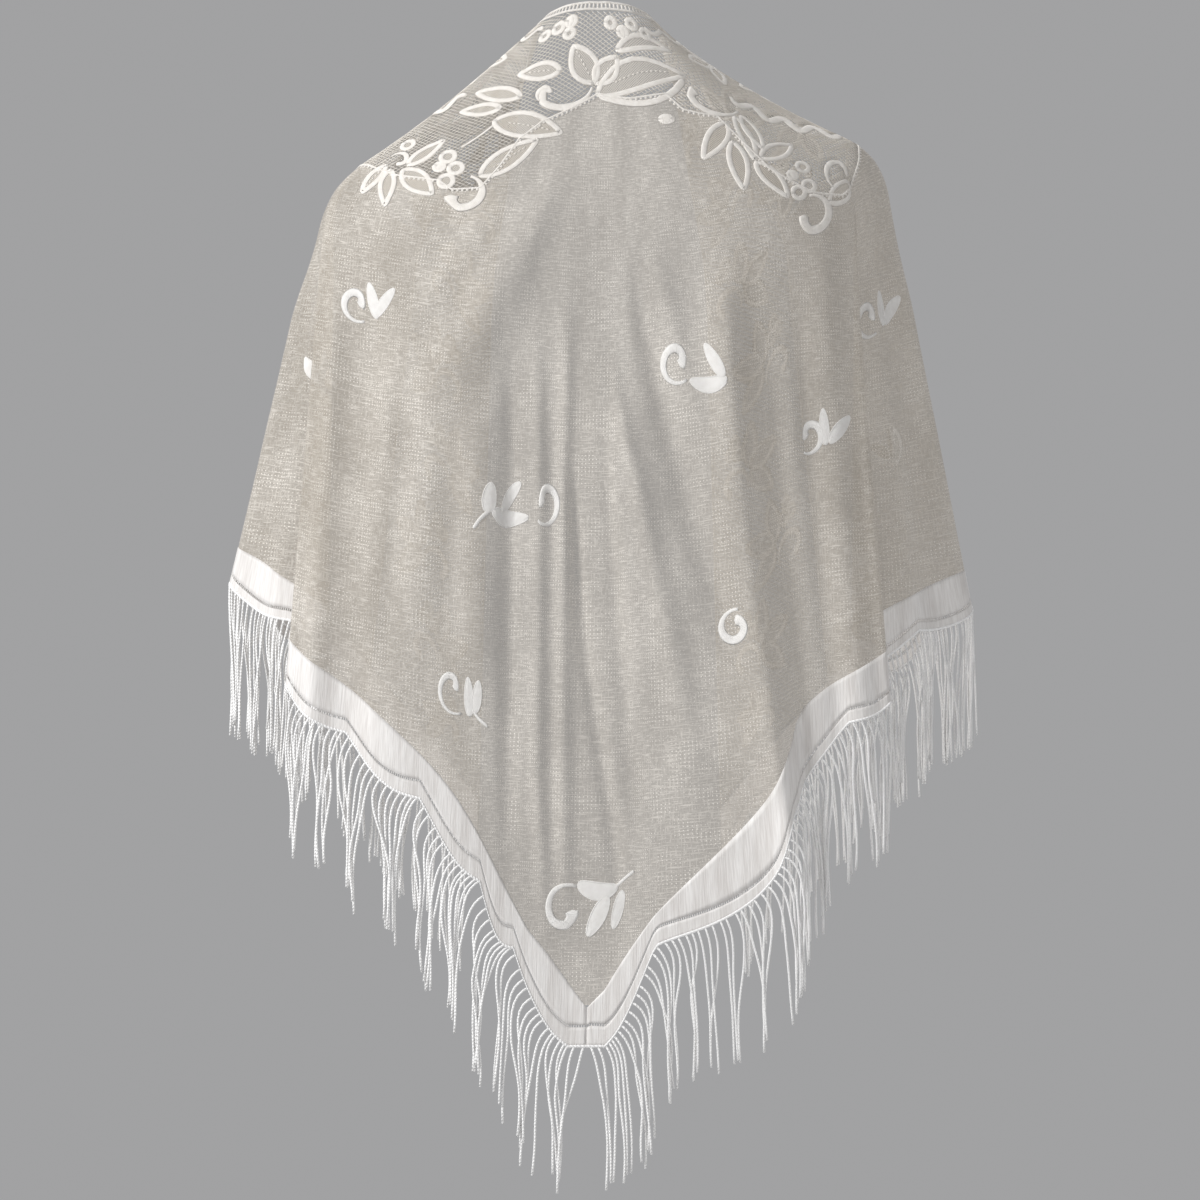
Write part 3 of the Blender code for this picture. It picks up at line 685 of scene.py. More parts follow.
@dataclass(frozen=True)
class Leaf:
    """A leaf from its base to its tip. bend moves its middle to the left, and blunt ones end rounder."""

    base: tuple[float, float]
    tip: tuple[float, float]
    width: float
    bend: float = 0.0
    veined: bool = True
    blunt: bool = False

    def halves(self, layout: Layout, count: int = 13, share: float = 1.0) -> tuple[Array, Array, Array]:
        """Left edge, right edge and middle of the leaf in the flat lay, from base to tip."""
        base, tip = layout.flat(self.base), layout.flat(self.tip)
        run = tip - base
        side = np.array((-run[1], run[0])) / np.linalg.norm(run)
        t = 0.5 - 0.5 * np.cos(np.linspace(0, math.pi, count))
        ends = BLUNT_ENDS if self.blunt else POINTED_ENDS
        half = share * self.width / 2 * np.sin(math.pi * t**BASE_LEAN) ** ends
        middle = base + run * t[:, None] + side * (self.bend * np.sin(math.pi * t))[:, None]
        return middle + side * half[:, None], middle - side * half[:, None], middle

    def outline(self, layout: Layout) -> Array:
        """The leaf's edge as a closed path."""
        left, right, _ = self.halves(layout)
        return np.vstack([left[:-1], right[:0:-1]])

    def inside(self, layout: Layout) -> Array:
        """Places inside the leaf, by (right to left, along)."""
        left, right, _ = self.halves(layout, share=0.92)
        return np.array([right + (left - right) * share for share in np.linspace(0, 1, 5)])

    def veins(self, layout: Layout) -> list[Array]:
        """The stitches along the middle of the leaf."""
        if not self.veined:
            return []
        _, _, middle = self.halves(layout, count=41)
        runs = runs_along(middle)
        starts = np.arange(VEIN_START * runs[-1], VEIN_END * runs[-1], VEIN_STITCH + VEIN_GAP)
        return [along_path(middle, np.array((start, start + VEIN_STITCH))) for start in starts]


@dataclass(frozen=True)
class Ring:
    """A round or oval petal or dot. solid ones have no open middle."""

    centre: tuple[float, float]
    across: float
    down: float
    solid: bool = False

    def axes(self, layout: Layout) -> tuple[Array, Array]:
        """Unit vectors down and across at the ring, in the flat lay."""
        turn = layout.down_angle(self.centre)
        along = np.array((math.cos(turn), math.sin(turn)))
        return along, np.array((-along[1], along[0]))

    def outline(self, layout: Layout, count: int = 16) -> Array:
        """The ring's edge as a closed path."""
        along, side = self.axes(layout)
        angles = np.linspace(0, 2 * math.pi, count, endpoint=False)
        reach = np.outer(np.cos(angles) * self.across / 2, side)
        return layout.flat(self.centre) + (reach + np.outer(np.sin(angles) * self.down / 2, along))

    def inside(self, layout: Layout) -> Array:
        """Places inside the ring, by (right to left, along)."""
        along, side = self.axes(layout)
        t = np.linspace(-0.96, 0.96, 9)
        half = np.sqrt(1 - t**2) * self.across / 2
        rows = [layout.flat(self.centre) + np.outer(t * self.down / 2, along) - np.outer(half * share, side)
                for share in np.linspace(-1, 1, 5)]
        return np.array(rows)[::-1]

    def veins(self, layout: Layout) -> list[Array]:
        """A ring has no veins."""
        return []


# How a scroll draws in over its last quarter, thickens from its start, swells to its ball and rounds off
DRAWN_IN = 0.4
THIN_START, THICK_FROM = 0.35, 0.45
BALL_PLACE, BALL_SPAN = 0.95, 0.07
END_SPAN = 0.03


@dataclass(frozen=True)
class Scroll:
    """A curled band. Its angles are in degrees from down the fall, towards the left side's direction."""

    centre: tuple[float, float]
    radius_from: float
    radius_to: float
    start: float
    sweep: float
    width: float
    ball: float = 0.0

    def path(self, layout: Layout, count: int = 30) -> Array:
        """The band's middle line in the flat lay."""
        t = np.linspace(0, 1, count)
        angles = layout.down_angle(self.centre) + np.radians(self.start + self.sweep * t)
        radii = self.radius_to * (1 - DRAWN_IN * np.clip(4 * t - 3, 0, 1))
        radii += (self.radius_from - self.radius_to) * (1 - t) ** 3
        return layout.flat(self.centre) + radii[:, None] * np.stack([np.cos(angles), np.sin(angles)], axis=1)

    def half_widths(self, count: int = 30) -> Array:
        """The band's half width, which grows from its thin start and rounds off in a ball."""
        t = np.linspace(0, 1, count)
        grown = eased(np.clip(t / THICK_FROM, 0, 1))
        half = self.width / 2 * (THIN_START + (1 - THIN_START) * grown)
        swell = np.exp(-(((t - BALL_PLACE) / BALL_SPAN) ** 2)) * self.ball
        return (half + swell) * np.sqrt(np.clip((1.0001 - t) / END_SPAN, 0.04, 1))

    def outline(self, layout: Layout) -> Array:
        """The band's edge as a closed path."""
        return band_edge(self.path(layout), self.half_widths())


@dataclass(frozen=True)
class Vine:
    """A waving band from one spot to another."""

    start: tuple[float, float]
    end: tuple[float, float]
    waves: float
    swing: float
    width: float

    def path(self, layout: Layout, count: int = 48) -> Array:
        """The band's middle line in the flat lay."""
        t = np.linspace(0, 1, count)
        spots = np.array(self.start) + np.subtract(self.end, self.start) * t[:, None]
        path = np.array([layout.flat(tuple(spot)) for spot in spots])
        return path + left_of(path) * (self.swing * np.sin(2 * math.pi * self.waves * t))[:, None]

    def half_widths(self, count: int = 48) -> Array:
        """The band's half width, thinner at both ends."""
        t = np.linspace(0, 1, count)
        return self.width / 2 * np.sqrt(np.clip(np.minimum(t, 1 - t) / 0.04, 0.15, 1))

    def outline(self, layout: Layout) -> Array:
        """The band's edge as a closed path."""
        return band_edge(self.path(layout), self.half_widths())


Motif = Leaf | Ring | Scroll | Vine


def within(places: Array, outline: Array) -> Array:
    """Which flat places lie inside a closed outline."""
    low, high = outline.min(axis=0), outline.max(axis=0)
    found = np.zeros(len(places), bool)
    near = np.flatnonzero(np.all((places >= low) & (places <= high), axis=1))
    x, y = places[near, 0], places[near, 1]
    inside = np.zeros(len(near), bool)
    for a, b in zip(outline, np.roll(outline, -1, axis=0)):
        crosses = (a[1] > y) != (b[1] > y)
        rise = b[1] - a[1] if abs(b[1] - a[1]) > 1e-12 else 1e-12
        inside ^= crosses & (x < (b[0] - a[0]) * (y - a[1]) / rise + a[0])
    found[near] = inside
    return found


# The lower edge of the yoke's lace, as (degrees round, distance down from the neck edge)
YOKE_EDGE = (
    (-87, 0.195), (-78, 0.188), (-70, 0.208), (-63, 0.198), (-56, 0.215), (-49, 0.238), (-44, 0.240),
    (-39, 0.225), (-36, 0.205), (-33.5, 0.185), (-32, 0.150), (-31, 0.116), (-28, 0.112), (-23, 0.104),
    (-20, 0.086), (-9.5, 0.088), (-5, 0.086), (0, 0.082), (5, 0.092), (8.8, 0.100), (14, 0.112),
    (18, 0.132), (20, 0.165), (22, 0.190), (27, 0.198), (30, 0.192), (34, 0.196), (38, 0.202),
    (44, 0.206), (49, 0.215), (56, 0.198), (63, 0.208), (70, 0.190), (76, 0.205), (84, 0.190),
)

YOKE_LEAVES = (
    Leaf((1.4, 0.072), (10.1, 0.040), 0.0230),
    Leaf((0.4, 0.072), (-7.1, 0.050), 0.0190),
    Leaf((26.1, 0.118), (8.9, 0.122), 0.0245),
    Leaf((22.7, 0.177), (14.0, 0.132), 0.0205),
    Leaf((37.2, 0.194), (30.0, 0.208), 0.0210, veined=False),
    Leaf((37.2, 0.186), (34.8, 0.150), 0.0125, veined=False),
    Leaf((40.9, 0.198), (41.2, 0.234), 0.0100),
    Leaf((39.3, 0.200), (36.8, 0.235), 0.0125, veined=False),
    Leaf((0.0, 0.083), (-29.9, 0.069), 0.0270, bend=-0.0060),
    Leaf((-31.7, 0.126), (-22.0, 0.158), 0.0160, veined=False),
    Leaf((-29.7, 0.148), (-27.0, 0.200), 0.0155, veined=False),
    Leaf((-36.0, 0.121), (-31.9, 0.172), 0.0110, veined=False),
    Leaf((-38.6, 0.122), (-35.2, 0.162), 0.0140, veined=False),
    Leaf((-33.4, 0.172), (-43.6, 0.168), 0.0165, veined=False),
    Leaf((-31.8, 0.176), (-34.2, 0.220), 0.0150, veined=False),
    Leaf((-41.3, 0.240), (-48.2, 0.234), 0.0180, veined=False),
    Leaf((-7.9, 0.043), (-31.0, 0.042), 0.0120, bend=-0.0050, veined=False),
    Leaf((27.0, 0.103), (37.5, 0.115), 0.0120, veined=False),
    Leaf((22.9, 0.089), (38.4, 0.092), 0.0140, veined=False),
    Leaf((13.3, 0.062), (27.2, 0.067), 0.0160),
)
YOKE_RINGS = (
    Ring((31.0, 0.165), 0.0125, 0.0125),
    Ring((28.1, 0.175), 0.0120, 0.0120),
    Ring((28.6, 0.191), 0.0125, 0.0140),
    Ring((31.3, 0.178), 0.0085, 0.0085, solid=True),
    Ring((-40.3, 0.195), 0.0125, 0.0115),
    Ring((-38.9, 0.217), 0.0120, 0.0125),
    Ring((-36.5, 0.220), 0.0120, 0.0120),
    Ring((-37.1, 0.200), 0.0085, 0.0085, solid=True),
    Ring((-17.4, 0.112), 0.0102, 0.0062, solid=True),
    Ring((-6.4, 0.019), 0.0085, 0.0085),
    Ring((-11.6, 0.027), 0.0080, 0.0085, solid=True),
    Ring((-17.0, 0.019), 0.0090, 0.0085),
    Ring((-22.6, 0.027), 0.0085, 0.0085),
    Ring((19.5, 0.022), 0.0095, 0.0095),
    Ring((13.8, 0.017), 0.0080, 0.0080, solid=True),
    Ring((25.6, 0.028), 0.0085, 0.0085),
    Ring((13.2, 0.028), 0.0080, 0.0080),
    Ring((41.6, 0.168), 0.0110, 0.0110),
)
YOKE_SCROLLS = (
    Scroll((24.9, 0.197), 0.0172, 0.0180, 185, 225, 0.0090, 0.0030),
    Scroll((10.6, 0.070), 0.0255, 0.0275, -80, 150, 0.0075),
    Scroll((15.8, 0.085), 0.0075, 0.0055, 20, 230, 0.0055, 0.0010),
    Scroll((-31.7, 0.093), 0.0330, 0.0130, -50, 200, 0.0080, 0.0022),
    Scroll((-37.8, 0.243), 0.0165, 0.0165, 185, 270, 0.0090, 0.0008),
    Scroll((40.0, 0.186), 0.0090, 0.0080, 90, 240, 0.0055),
    Scroll((-46.5, 0.225), 0.0190, 0.0200, 80, 200, 0.0065),
)
YOKE_VINES = (
    Vine((-42.3, 0.099), (-57.5, 0.192), 3.6, 0.0060, 0.0090),
    Vine((41.5, 0.098), (57.0, 0.188), 3.4, 0.0055, 0.0080),
    Vine((-24.0, 0.020), (-60.0, 0.034), 2.2, 0.0040, 0.0055),
    Vine((30.0, 0.020), (60.0, 0.034), 2.0, 0.0040, 0.0055),
    Vine((29.7, 0.152), (25.8, 0.122), 0.5, 0.0003, 0.0026),
    Vine((-0.2, 0.084), (-28.6, 0.073), 0.5, 0.0150, 0.0070),
)


@dataclass(frozen=True)
class SprigSpot:
    """Where a whole sprig lies, its size against the usual one, and whether it faces the other way."""

    centre: tuple[float, float]
    size: float
    mirrored: bool


# Sprigs on the sides of the yoke that are not seen from behind
YOKE_SPRIGS = (
    SprigSpot((-54.0, 0.060), 0.80, False),
    SprigSpot((-66.0, 0.150), 1.05, True),
    SprigSpot((-78.0, 0.085), 0.95, False),
    SprigSpot((-81.0, 0.165), 0.85, True),
    SprigSpot((-62.0, 0.100), 0.70, False),
    SprigSpot((53.0, 0.062), 0.80, True),
    SprigSpot((65.0, 0.148), 1.05, False),
    SprigSpot((76.0, 0.082), 0.95, True),
    SprigSpot((78.0, 0.162), 0.85, False),
    SprigSpot((61.0, 0.102), 0.70, True),
)

# Sprigs down each front, as (share of the width in from the edge, distance down)
FRONT_SPRIGS = (
    SprigSpot((0.50, 0.060), 0.60, False),
    SprigSpot((0.50, 0.135), 0.90, True),
    SprigSpot((0.42, 0.215), 1.00, False),
    SprigSpot((0.60, 0.300), 1.10, True),
    SprigSpot((0.38, 0.385), 1.05, False),
    SprigSpot((0.60, 0.470), 1.10, True),
    SprigSpot((0.40, 0.555), 1.05, False),
    SprigSpot((0.34, 0.622), 0.70, True),
)


def sprig(layout: Layout, spot: SprigSpot) -> list[Motif]:
    """The motifs of one sprig: three leaves, a scroll and a small flower.

    Args:
        layout: The flat lay it is placed on.
        spot: Where it lies.

    Returns:
        Its motifs.
    """
    side = -spot.size if spot.mirrored else spot.size

    def at(across: float, down: float) -> tuple[float, float]:
        """A spot of the sprig by its offsets at the usual size."""
        return layout.shifted(spot.centre, across * side, down * spot.size)

    turn = -1 if spot.mirrored else 1
    return [
        Leaf(at(0.003, -0.002), at(0.036, -0.012), 0.018 * spot.size),
        Leaf(at(0.003, 0.003), at(0.027, 0.028), 0.016 * spot.size, veined=False),
        Leaf(at(0.000, -0.005), at(0.006, -0.039), 0.015 * spot.size, veined=False),
        Scroll(at(-0.018, 0.009), 0.018 * spot.size, 0.012 * spot.size, 60 * turn, 270 * turn,
               0.0078, 0.0012),
        Ring(at(-0.012, -0.018), 0.0100 * spot.size, 0.0100 * spot.size),
        Ring(at(-0.023, -0.021), 0.0090 * spot.size, 0.0090 * spot.size),
        Ring(at(-0.016, -0.029), 0.0090 * spot.size, 0.0100 * spot.size),
    ]


# Opaque sprays woven into the field, as (distance round from the centre back, height from the bend)
FIELD_LEAVES = (
    Leaf((-0.176, -0.158), (-0.134, -0.153), 0.0140, bend=-0.0040, blunt=True),
    Leaf((-0.173, -0.155), (-0.154, -0.123), 0.0118, blunt=True),
    Leaf((0.147, -0.264), (0.145, -0.238), 0.0140, blunt=True),
    Leaf((0.125, -0.262), (0.097, -0.236), 0.0135, blunt=True),
    Leaf((0.143, -0.263), (0.088, -0.266), 0.0150, bend=0.0035, blunt=True),
    Leaf((0.156, -0.440), (0.160, -0.407), 0.0095, blunt=True),
    Leaf((0.151, -0.437), (0.149, -0.409), 0.0088, blunt=True),
    Leaf((0.009, -0.579), (-0.027, -0.582), 0.0152, bend=0.0045, blunt=True),
    Leaf((-0.016, -0.589), (0.000, -0.623), 0.0122, blunt=True),
    Leaf((-0.034, -0.585), (-0.022, -0.617), 0.0122, blunt=True),
    Leaf((0.300, -0.108), (0.272, -0.082), 0.012, blunt=True),
    Leaf((0.296, -0.110), (0.306, -0.080), 0.011, blunt=True),
    Leaf((-0.310, -0.230), (-0.338, -0.208), 0.012, blunt=True),
    Leaf((-0.306, -0.232), (-0.304, -0.200), 0.011, blunt=True),
    Leaf((0.430, -0.180), (0.458, -0.160), 0.013, blunt=True),
    Leaf((0.427, -0.182), (0.424, -0.150), 0.012, blunt=True),
    Leaf((-0.450, -0.150), (-0.478, -0.130), 0.013, blunt=True),
    Leaf((-0.447, -0.152), (-0.444, -0.120), 0.012, blunt=True),
    Leaf((0.600, -0.230), (0.628, -0.212), 0.013, blunt=True),
    Leaf((0.597, -0.232), (0.594, -0.200), 0.012, blunt=True),
    Leaf((-0.620, -0.260), (-0.648, -0.242), 0.013, blunt=True),
    Leaf((-0.617, -0.262), (-0.614, -0.230), 0.012, blunt=True),
)
FIELD_SCROLLS = (
    Scroll((-0.118, -0.135), 0.0214, 0.0112, -36, 345, 0.0088, 0.0016),
    Scroll((0.055, -0.253), 0.0215, 0.0125, 44, -335, 0.0086, 0.0018),
    Scroll((0.180, -0.417), 0.0260, 0.0088, -34, 325, 0.0066, 0.0012),
    Scroll((-0.161, -0.370), 0.0160, 0.0100, 200, -370, 0.0084, 0.0008),
    Scroll((0.022, -0.601), 0.0240, 0.0128, 210, -300, 0.0088, 0.0020),
    Scroll((0.320, -0.100), 0.0180, 0.0090, -36, 330, 0.0078, 0.0014),
    Scroll((-0.290, -0.222), 0.0180, 0.0090, 36, -330, 0.0078, 0.0014),
    Scroll((0.402, -0.172), 0.0200, 0.0105, 40, -330, 0.0082, 0.0016),
    Scroll((-0.422, -0.142), 0.0200, 0.0105, -40, 330, 0.0082, 0.0016),
    Scroll((0.572, -0.222), 0.0200, 0.0105, 40, -330, 0.0082, 0.0016),
    Scroll((-0.592, -0.252), 0.0200, 0.0105, -40, 330, 0.0082, 0.0016),
)
FIELD_STEMS = (
    Vine((0.145, -0.262), (0.161, -0.279), 0.5, 0.0010, 0.0036),
    Vine((0.152, -0.436), (0.137, -0.448), 0.5, 0.0012, 0.0028),
    Vine((-0.024, -0.582), (-0.051, -0.569), 0.5, -0.0010, 0.0034),
)


class Nodes:
    """Builds the node tree of one material."""

    def __init__(self, name: str, roughness: float, sheen: float = 0.0) -> None:
        """Start a material with its shader.

        Args:
            name: The material's name.
            roughness: The same all over the surface.
            sheen: Weight of the cloth's sheen.
        """
        self.material = bpy.data.materials.new(name)
        self.material.use_nodes = True
        self.tree = self.material.node_tree
        self.shader = self.tree.nodes["Principled BSDF"]
        self.shader.inputs["Roughness"].default_value = roughness
        self.shader.inputs["Sheen Weight"].default_value = sheen
        self.shader.inputs["Sheen Roughness"].default_value = 0.5
        self.laid = self.add("ShaderNodeUVMap", uv_map="flat").outputs["UV"]

    def add(self, kind: str, **settings: object) -> bpy.types.Node:
        """Add a node and set its properties."""
        node = self.tree.nodes.new(kind)
        for name, value in settings.items():
            setattr(node, name, value)
        return node

    def link(self, source: Socket, target: Socket) -> None:
        """Link two sockets."""
        self.tree.links.new(source, target)

    def scaled(self, across: float, down: float, turn: float = 0.0, shift: float = 0.0) -> Socket:
        """The flat coordinates stretched by scales across and down, after a turn in degrees."""
        mapping = self.add("ShaderNodeMapping")
        mapping.inputs["Rotation"].default_value[2] = math.radians(turn)
        mapping.inputs["Scale"].default_value = (across, down, 1.0)
        mapping.inputs["Location"].default_value = (shift, shift * 0.37, 0.0)
        self.link(self.laid, mapping.inputs["Vector"])
        return mapping.outputs["Vector"]

    def noise(self, vector: Socket, detail: float = 2.0) -> Socket:
        """Noise of about one feature a unit."""
        node = self.add("ShaderNodeTexNoise")
        node.inputs["Scale"].default_value = 1.0
        node.inputs["Detail"].default_value = detail
        self.link(vector, node.inputs["Vector"])
        return node.outputs["Fac"]

    def wave(self, vector: Socket, distortion: float = 0.0) -> Socket:
        """Even bands across the first axis, about three to each unit."""
        node = self.add("ShaderNodeTexWave")
        node.inputs["Scale"].default_value = 1.0
        node.inputs["Distortion"].default_value = distortion
        self.link(vector, node.inputs["Vector"])
        return node.outputs["Fac"]

    def ranged(self, value: Socket, low: float, high: float, to_low: float, to_high: float) -> Socket:
        """A value spread from one range to another, and held within it."""
        node = self.add("ShaderNodeMapRange", interpolation_type="SMOOTHSTEP")
        for name, number in (("From Min", low), ("From Max", high), ("To Min", to_low), ("To Max", to_high)):
            node.inputs[name].default_value = number
        self.link(value, node.inputs["Value"])
        return node.outputs["Result"]

    def maths(self, operation: str, a: Socket, b: Socket | float) -> Socket:
        """The result of a sum on two values, held from 0 to 1."""
        node = self.add("ShaderNodeMath", operation=operation, use_clamp=True)
        self.link(a, node.inputs[0])
        if isinstance(b, float):
            node.inputs[1].default_value = b
        else:
            self.link(b, node.inputs[1])
        return node.outputs["Value"]

    def colour(self, share: Socket, low: tuple[float, ...], high: tuple[float, ...]) -> None:
        """Give the surface a colour between two, by a share."""
        node = self.add("ShaderNodeMix", data_type="RGBA")
        self.link(share, node.inputs["Factor"])
        node.inputs["A"].default_value = (*low, 1.0)
        node.inputs["B"].default_value = (*high, 1.0)
        self.link(node.outputs["Result"], self.shader.inputs["Base Color"])

    def cover(self, share: Socket, low: float, high: float) -> None:
        """Let the surface hide what is behind it by an amount between two, by a share."""
        self.link(self.ranged(share, 0.0, 1.0, low, high), self.shader.inputs["Alpha"])

    def bump(self, height: Socket, distance: float, strength: float = 1.0) -> None:
        """Raise the surface by a height of 0 to 1 times a distance."""
        node = self.add("ShaderNodeBump")
        node.inputs["Distance"].default_value = distance
        node.inputs["Strength"].default_value = strength
        self.link(height, node.inputs["Height"])
        self.link(node.outputs["Normal"], self.shader.inputs["Normal"])


@dataclass(frozen=True)
class SheerWeave:
    """The field's open weave, with slubs both ways and knots in rows. It hides more where it is thick."""

    name: str = "sheer slub weave"
    ground: tuple[float, float, float] = (0.42, 0.375, 0.315)
    slub: tuple[float, float, float] = (0.90, 0.86, 0.80)
    knots: float = 92.0
    alpha_low: float = 0.54
    alpha_high: float = 0.98
    roughness: float = 0.8

    def material(self) -> bpy.types.Material:
        """Make the material."""
        nodes = Nodes(self.name, self.roughness, sheen=0.15)
        upright = nodes.ranged(nodes.noise(nodes.scaled(820, 100)), 0.44, 0.74, 0.0, 0.45)
        level = nodes.ranged(nodes.noise(nodes.scaled(75, 820, shift=5.0)), 0.44, 0.72, 0.0, 0.55)
        flecks = nodes.ranged(nodes.noise(nodes.scaled(560, 700, shift=9.0), 1.0), 0.60, 0.70, 0.0, 0.60)
        columns = nodes.wave(nodes.scaled(self.knots, self.knots), 0.7)
        rows = nodes.wave(nodes.scaled(self.knots, self.knots, turn=90), 0.7)
        knots = nodes.ranged(nodes.maths("MULTIPLY", columns, rows), 0.60, 0.90, 0.0, 0.95)
        patches = nodes.ranged(nodes.noise(nodes.scaled(40, 55, shift=4.0)), 0.40, 0.60, 0.10, 0.95)
        cloud = nodes.ranged(nodes.noise(nodes.scaled(16, 9, shift=2.0)), 0.30, 0.70, 0.0, 0.20)
        slubs = nodes.maths("MAXIMUM", nodes.maths("MAXIMUM", upright, level), flecks)
        slubs = nodes.maths("MAXIMUM", slubs, nodes.maths("MULTIPLY", knots, patches))
        thick = nodes.maths("ADD", nodes.maths("MULTIPLY", slubs, 0.80), cloud)
        nodes.colour(thick, self.ground, self.slub)
        nodes.cover(thick, self.alpha_low, self.alpha_high)
        nodes.bump(thick, 0.0004, 0.6)
        return nodes.material


@dataclass(frozen=True)
class SheerMesh:
    """The fine mesh that fills the lace's leaves and petals."""

    name: str = "fine lace mesh"
    ground: tuple[float, float, float] = (0.46, 0.42, 0.36)
    thread: tuple[float, float, float] = (0.68, 0.63, 0.56)
    alpha_low: float = 0.42
    alpha_high: float = 0.80
    roughness: float = 0.85

    def material(self) -> bpy.types.Material:
        """Make the material."""
        nodes = Nodes(self.name, self.roughness, sheen=0.1)
        one_way = nodes.ranged(nodes.wave(nodes.scaled(200, 200, turn=40)), 0.55, 0.95, 0.0, 1.0)
        other_way = nodes.ranged(nodes.wave(nodes.scaled(200, 200, turn=-40)), 0.55, 0.95, 0.0, 1.0)
        threads = nodes.maths("MAXIMUM", one_way, other_way)
        nodes.colour(threads, self.ground, self.thread)
        nodes.cover(threads, self.alpha_low, self.alpha_high)
        nodes.bump(threads, 0.0003, 0.5)
        return nodes.material


@dataclass(frozen=True)
class StitchedThread:
    """Opaque thread laid in close stitches across a cord or band. Its colour carries painted shade in the
    grooves between the stitches and a painted highlight on their crowns, over random patches of tone.
    """

    name: str
    # shade is the painted shade colour in the grooves between stitches, light the painted highlight colour on
    # their crowns
    shade: tuple[float, float, float]
    light: tuple[float, float, float]
    roughness: float
    stitch: float
    slant: float = 0.0
    depth: float = 0.0004
    sheen: float = 0.2

    def material(self) -> bpy.types.Material:
        """Make the material."""
        nodes = Nodes(self.name, self.roughness, self.sheen)
        scale = math.pi / 10 / self.stitch
        stitches = nodes.wave(nodes.scaled(scale, scale, self.slant), 0.6)
        patchy = nodes.ranged(nodes.noise(nodes.scaled(160, 160)), 0.30, 0.70, 0.0, 0.45)
        # The stitch ridges paint shade between the stitches and a highlight on their crowns; patchy is random
        # tone
        tone = nodes.maths("ADD", nodes.maths("MULTIPLY", stitches, 0.55), patchy)
        nodes.colour(tone, self.shade, self.light)
        nodes.bump(stitches, self.depth, 0.7)
        return nodes.material


@dataclass(frozen=True)
class SatinBand:
    """The border's dense weave, with fine streaks square to the hem."""

    name: str = "dense satin band"
    shade: tuple[float, float, float] = (0.64, 0.61, 0.585)
    light: tuple[float, float, float] = (0.84, 0.82, 0.80)
    roughness: float = 0.5

    def material(self) -> bpy.types.Material:
        """Make the material."""
        nodes = Nodes(self.name, self.roughness, sheen=0.35)
        streaks = nodes.ranged(nodes.noise(nodes.scaled(640, 40)), 0.32, 0.68, 0.0, 1.0)
        broad = nodes.ranged(nodes.noise(nodes.scaled(90, 10, shift=3.0)), 0.32, 0.68, 0.0, 0.5)
        tone = nodes.maths("ADD", nodes.maths("MULTIPLY", streaks, 0.5), broad)
        nodes.colour(tone, self.shade, self.light)
        nodes.bump(streaks, 0.0003, 0.5)
        return nodes.material


FIELD_FINISH = SheerWeave()
FILL_FINISH = SheerMesh()
# Each stitched thread's first colour is painted shade in the grooves between its stitches, its second a
# painted highlight on their crowns; on the fringe cord these stitches are the turns of its twist
NET_FINISH = StitchedThread("lace net thread", (0.66, 0.61, 0.54), (0.88, 0.84, 0.78), 0.80, 0.0014)
OUTLINE_FINISH = StitchedThread(
    "lace outline stitches", (0.78, 0.735, 0.675), (0.96, 0.925, 0.875), 0.70, 0.0010
)
SPRAY_FINISH = StitchedThread(
    "woven sprays", (0.84, 0.815, 0.78), (0.97, 0.955, 0.93), 0.70, 0.0008, slant=12
)
EDGING_FINISH = StitchedThread("ribbed neck edging", (0.74, 0.70, 0.645), (0.93, 0.90, 0.855), 0.75, 0.0010)
BORDER_FINISH = SatinBand()
CORD_FINISH = StitchedThread(
    "twisted fringe cord", (0.86, 0.85, 0.84), (0.98, 0.975, 0.97), 0.45, 0.0026,
    slant=28, depth=0.0005, sheen=0.3,
)


def fit(piece: Piece, slot: str, *nodes: str) -> Piece:
    """Let a piece ride on the shawl in place of nodes, and report it.

    Args:
        piece: The new piece.
        slot: Not used.
        *nodes: The solids that it stands for.

    Returns:
        The piece.
    """
    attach(piece, "root")
    if nodes:
        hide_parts(*nodes)
    LOG.info("%s: %d faces", piece.name, len(piece.data.polygons))
    return piece


@dataclass(frozen=True)
class Cut:
    """A cut of cloth laid flat: its box and its area."""

    width: float
    length: float
    area: float

    @classmethod
    def of(cls, outline: Array) -> "Cut":
        """Measure a closed outline of flat places."""
        x, y = outline.T
        area = abs(np.dot(x, np.roll(y, -1)) - np.dot(y, np.roll(x, -1))) / 2
        return cls(float(np.ptp(x)), float(np.ptp(y)), float(area))


@dataclass
class Embroidery:
    """Stitches motifs on a cloth: raised outlines and veins, and what fills them."""

    needle: Needle
    band: float = 0.0027
    proud: float = 0.0006
    vein: float = 0.0006
    fill_lift: float = 0.0001
    crown: float = 0.0006

    def stitch(self, motif: Motif, lines: MeshParts, fills: MeshParts) -> None:
        """Stitch one motif.

        Args:
            motif: What to stitch.
            lines: Where its raised bands are gathered.
            fills: Where its sheer middle is gathered.
        """
        layout = self.needle.layout
        if isinstance(motif, Scroll | Vine):
            self.needle.cord(lines, motif.path(layout), motif.half_widths(), self.proud)
            return
        self.needle.cord(lines, motif.outline(layout), self.band, self.proud, closed=True)
        if isinstance(motif, Ring) and motif.solid:
            self.needle.fill(lines, motif.inside(layout), self.fill_lift, self.crown)
        else:
            self.needle.fill(fills, motif.inside(layout), self.fill_lift)
        for vein in motif.veins(layout):
            self.needle.cord(lines, vein, self.vein, self.proud)


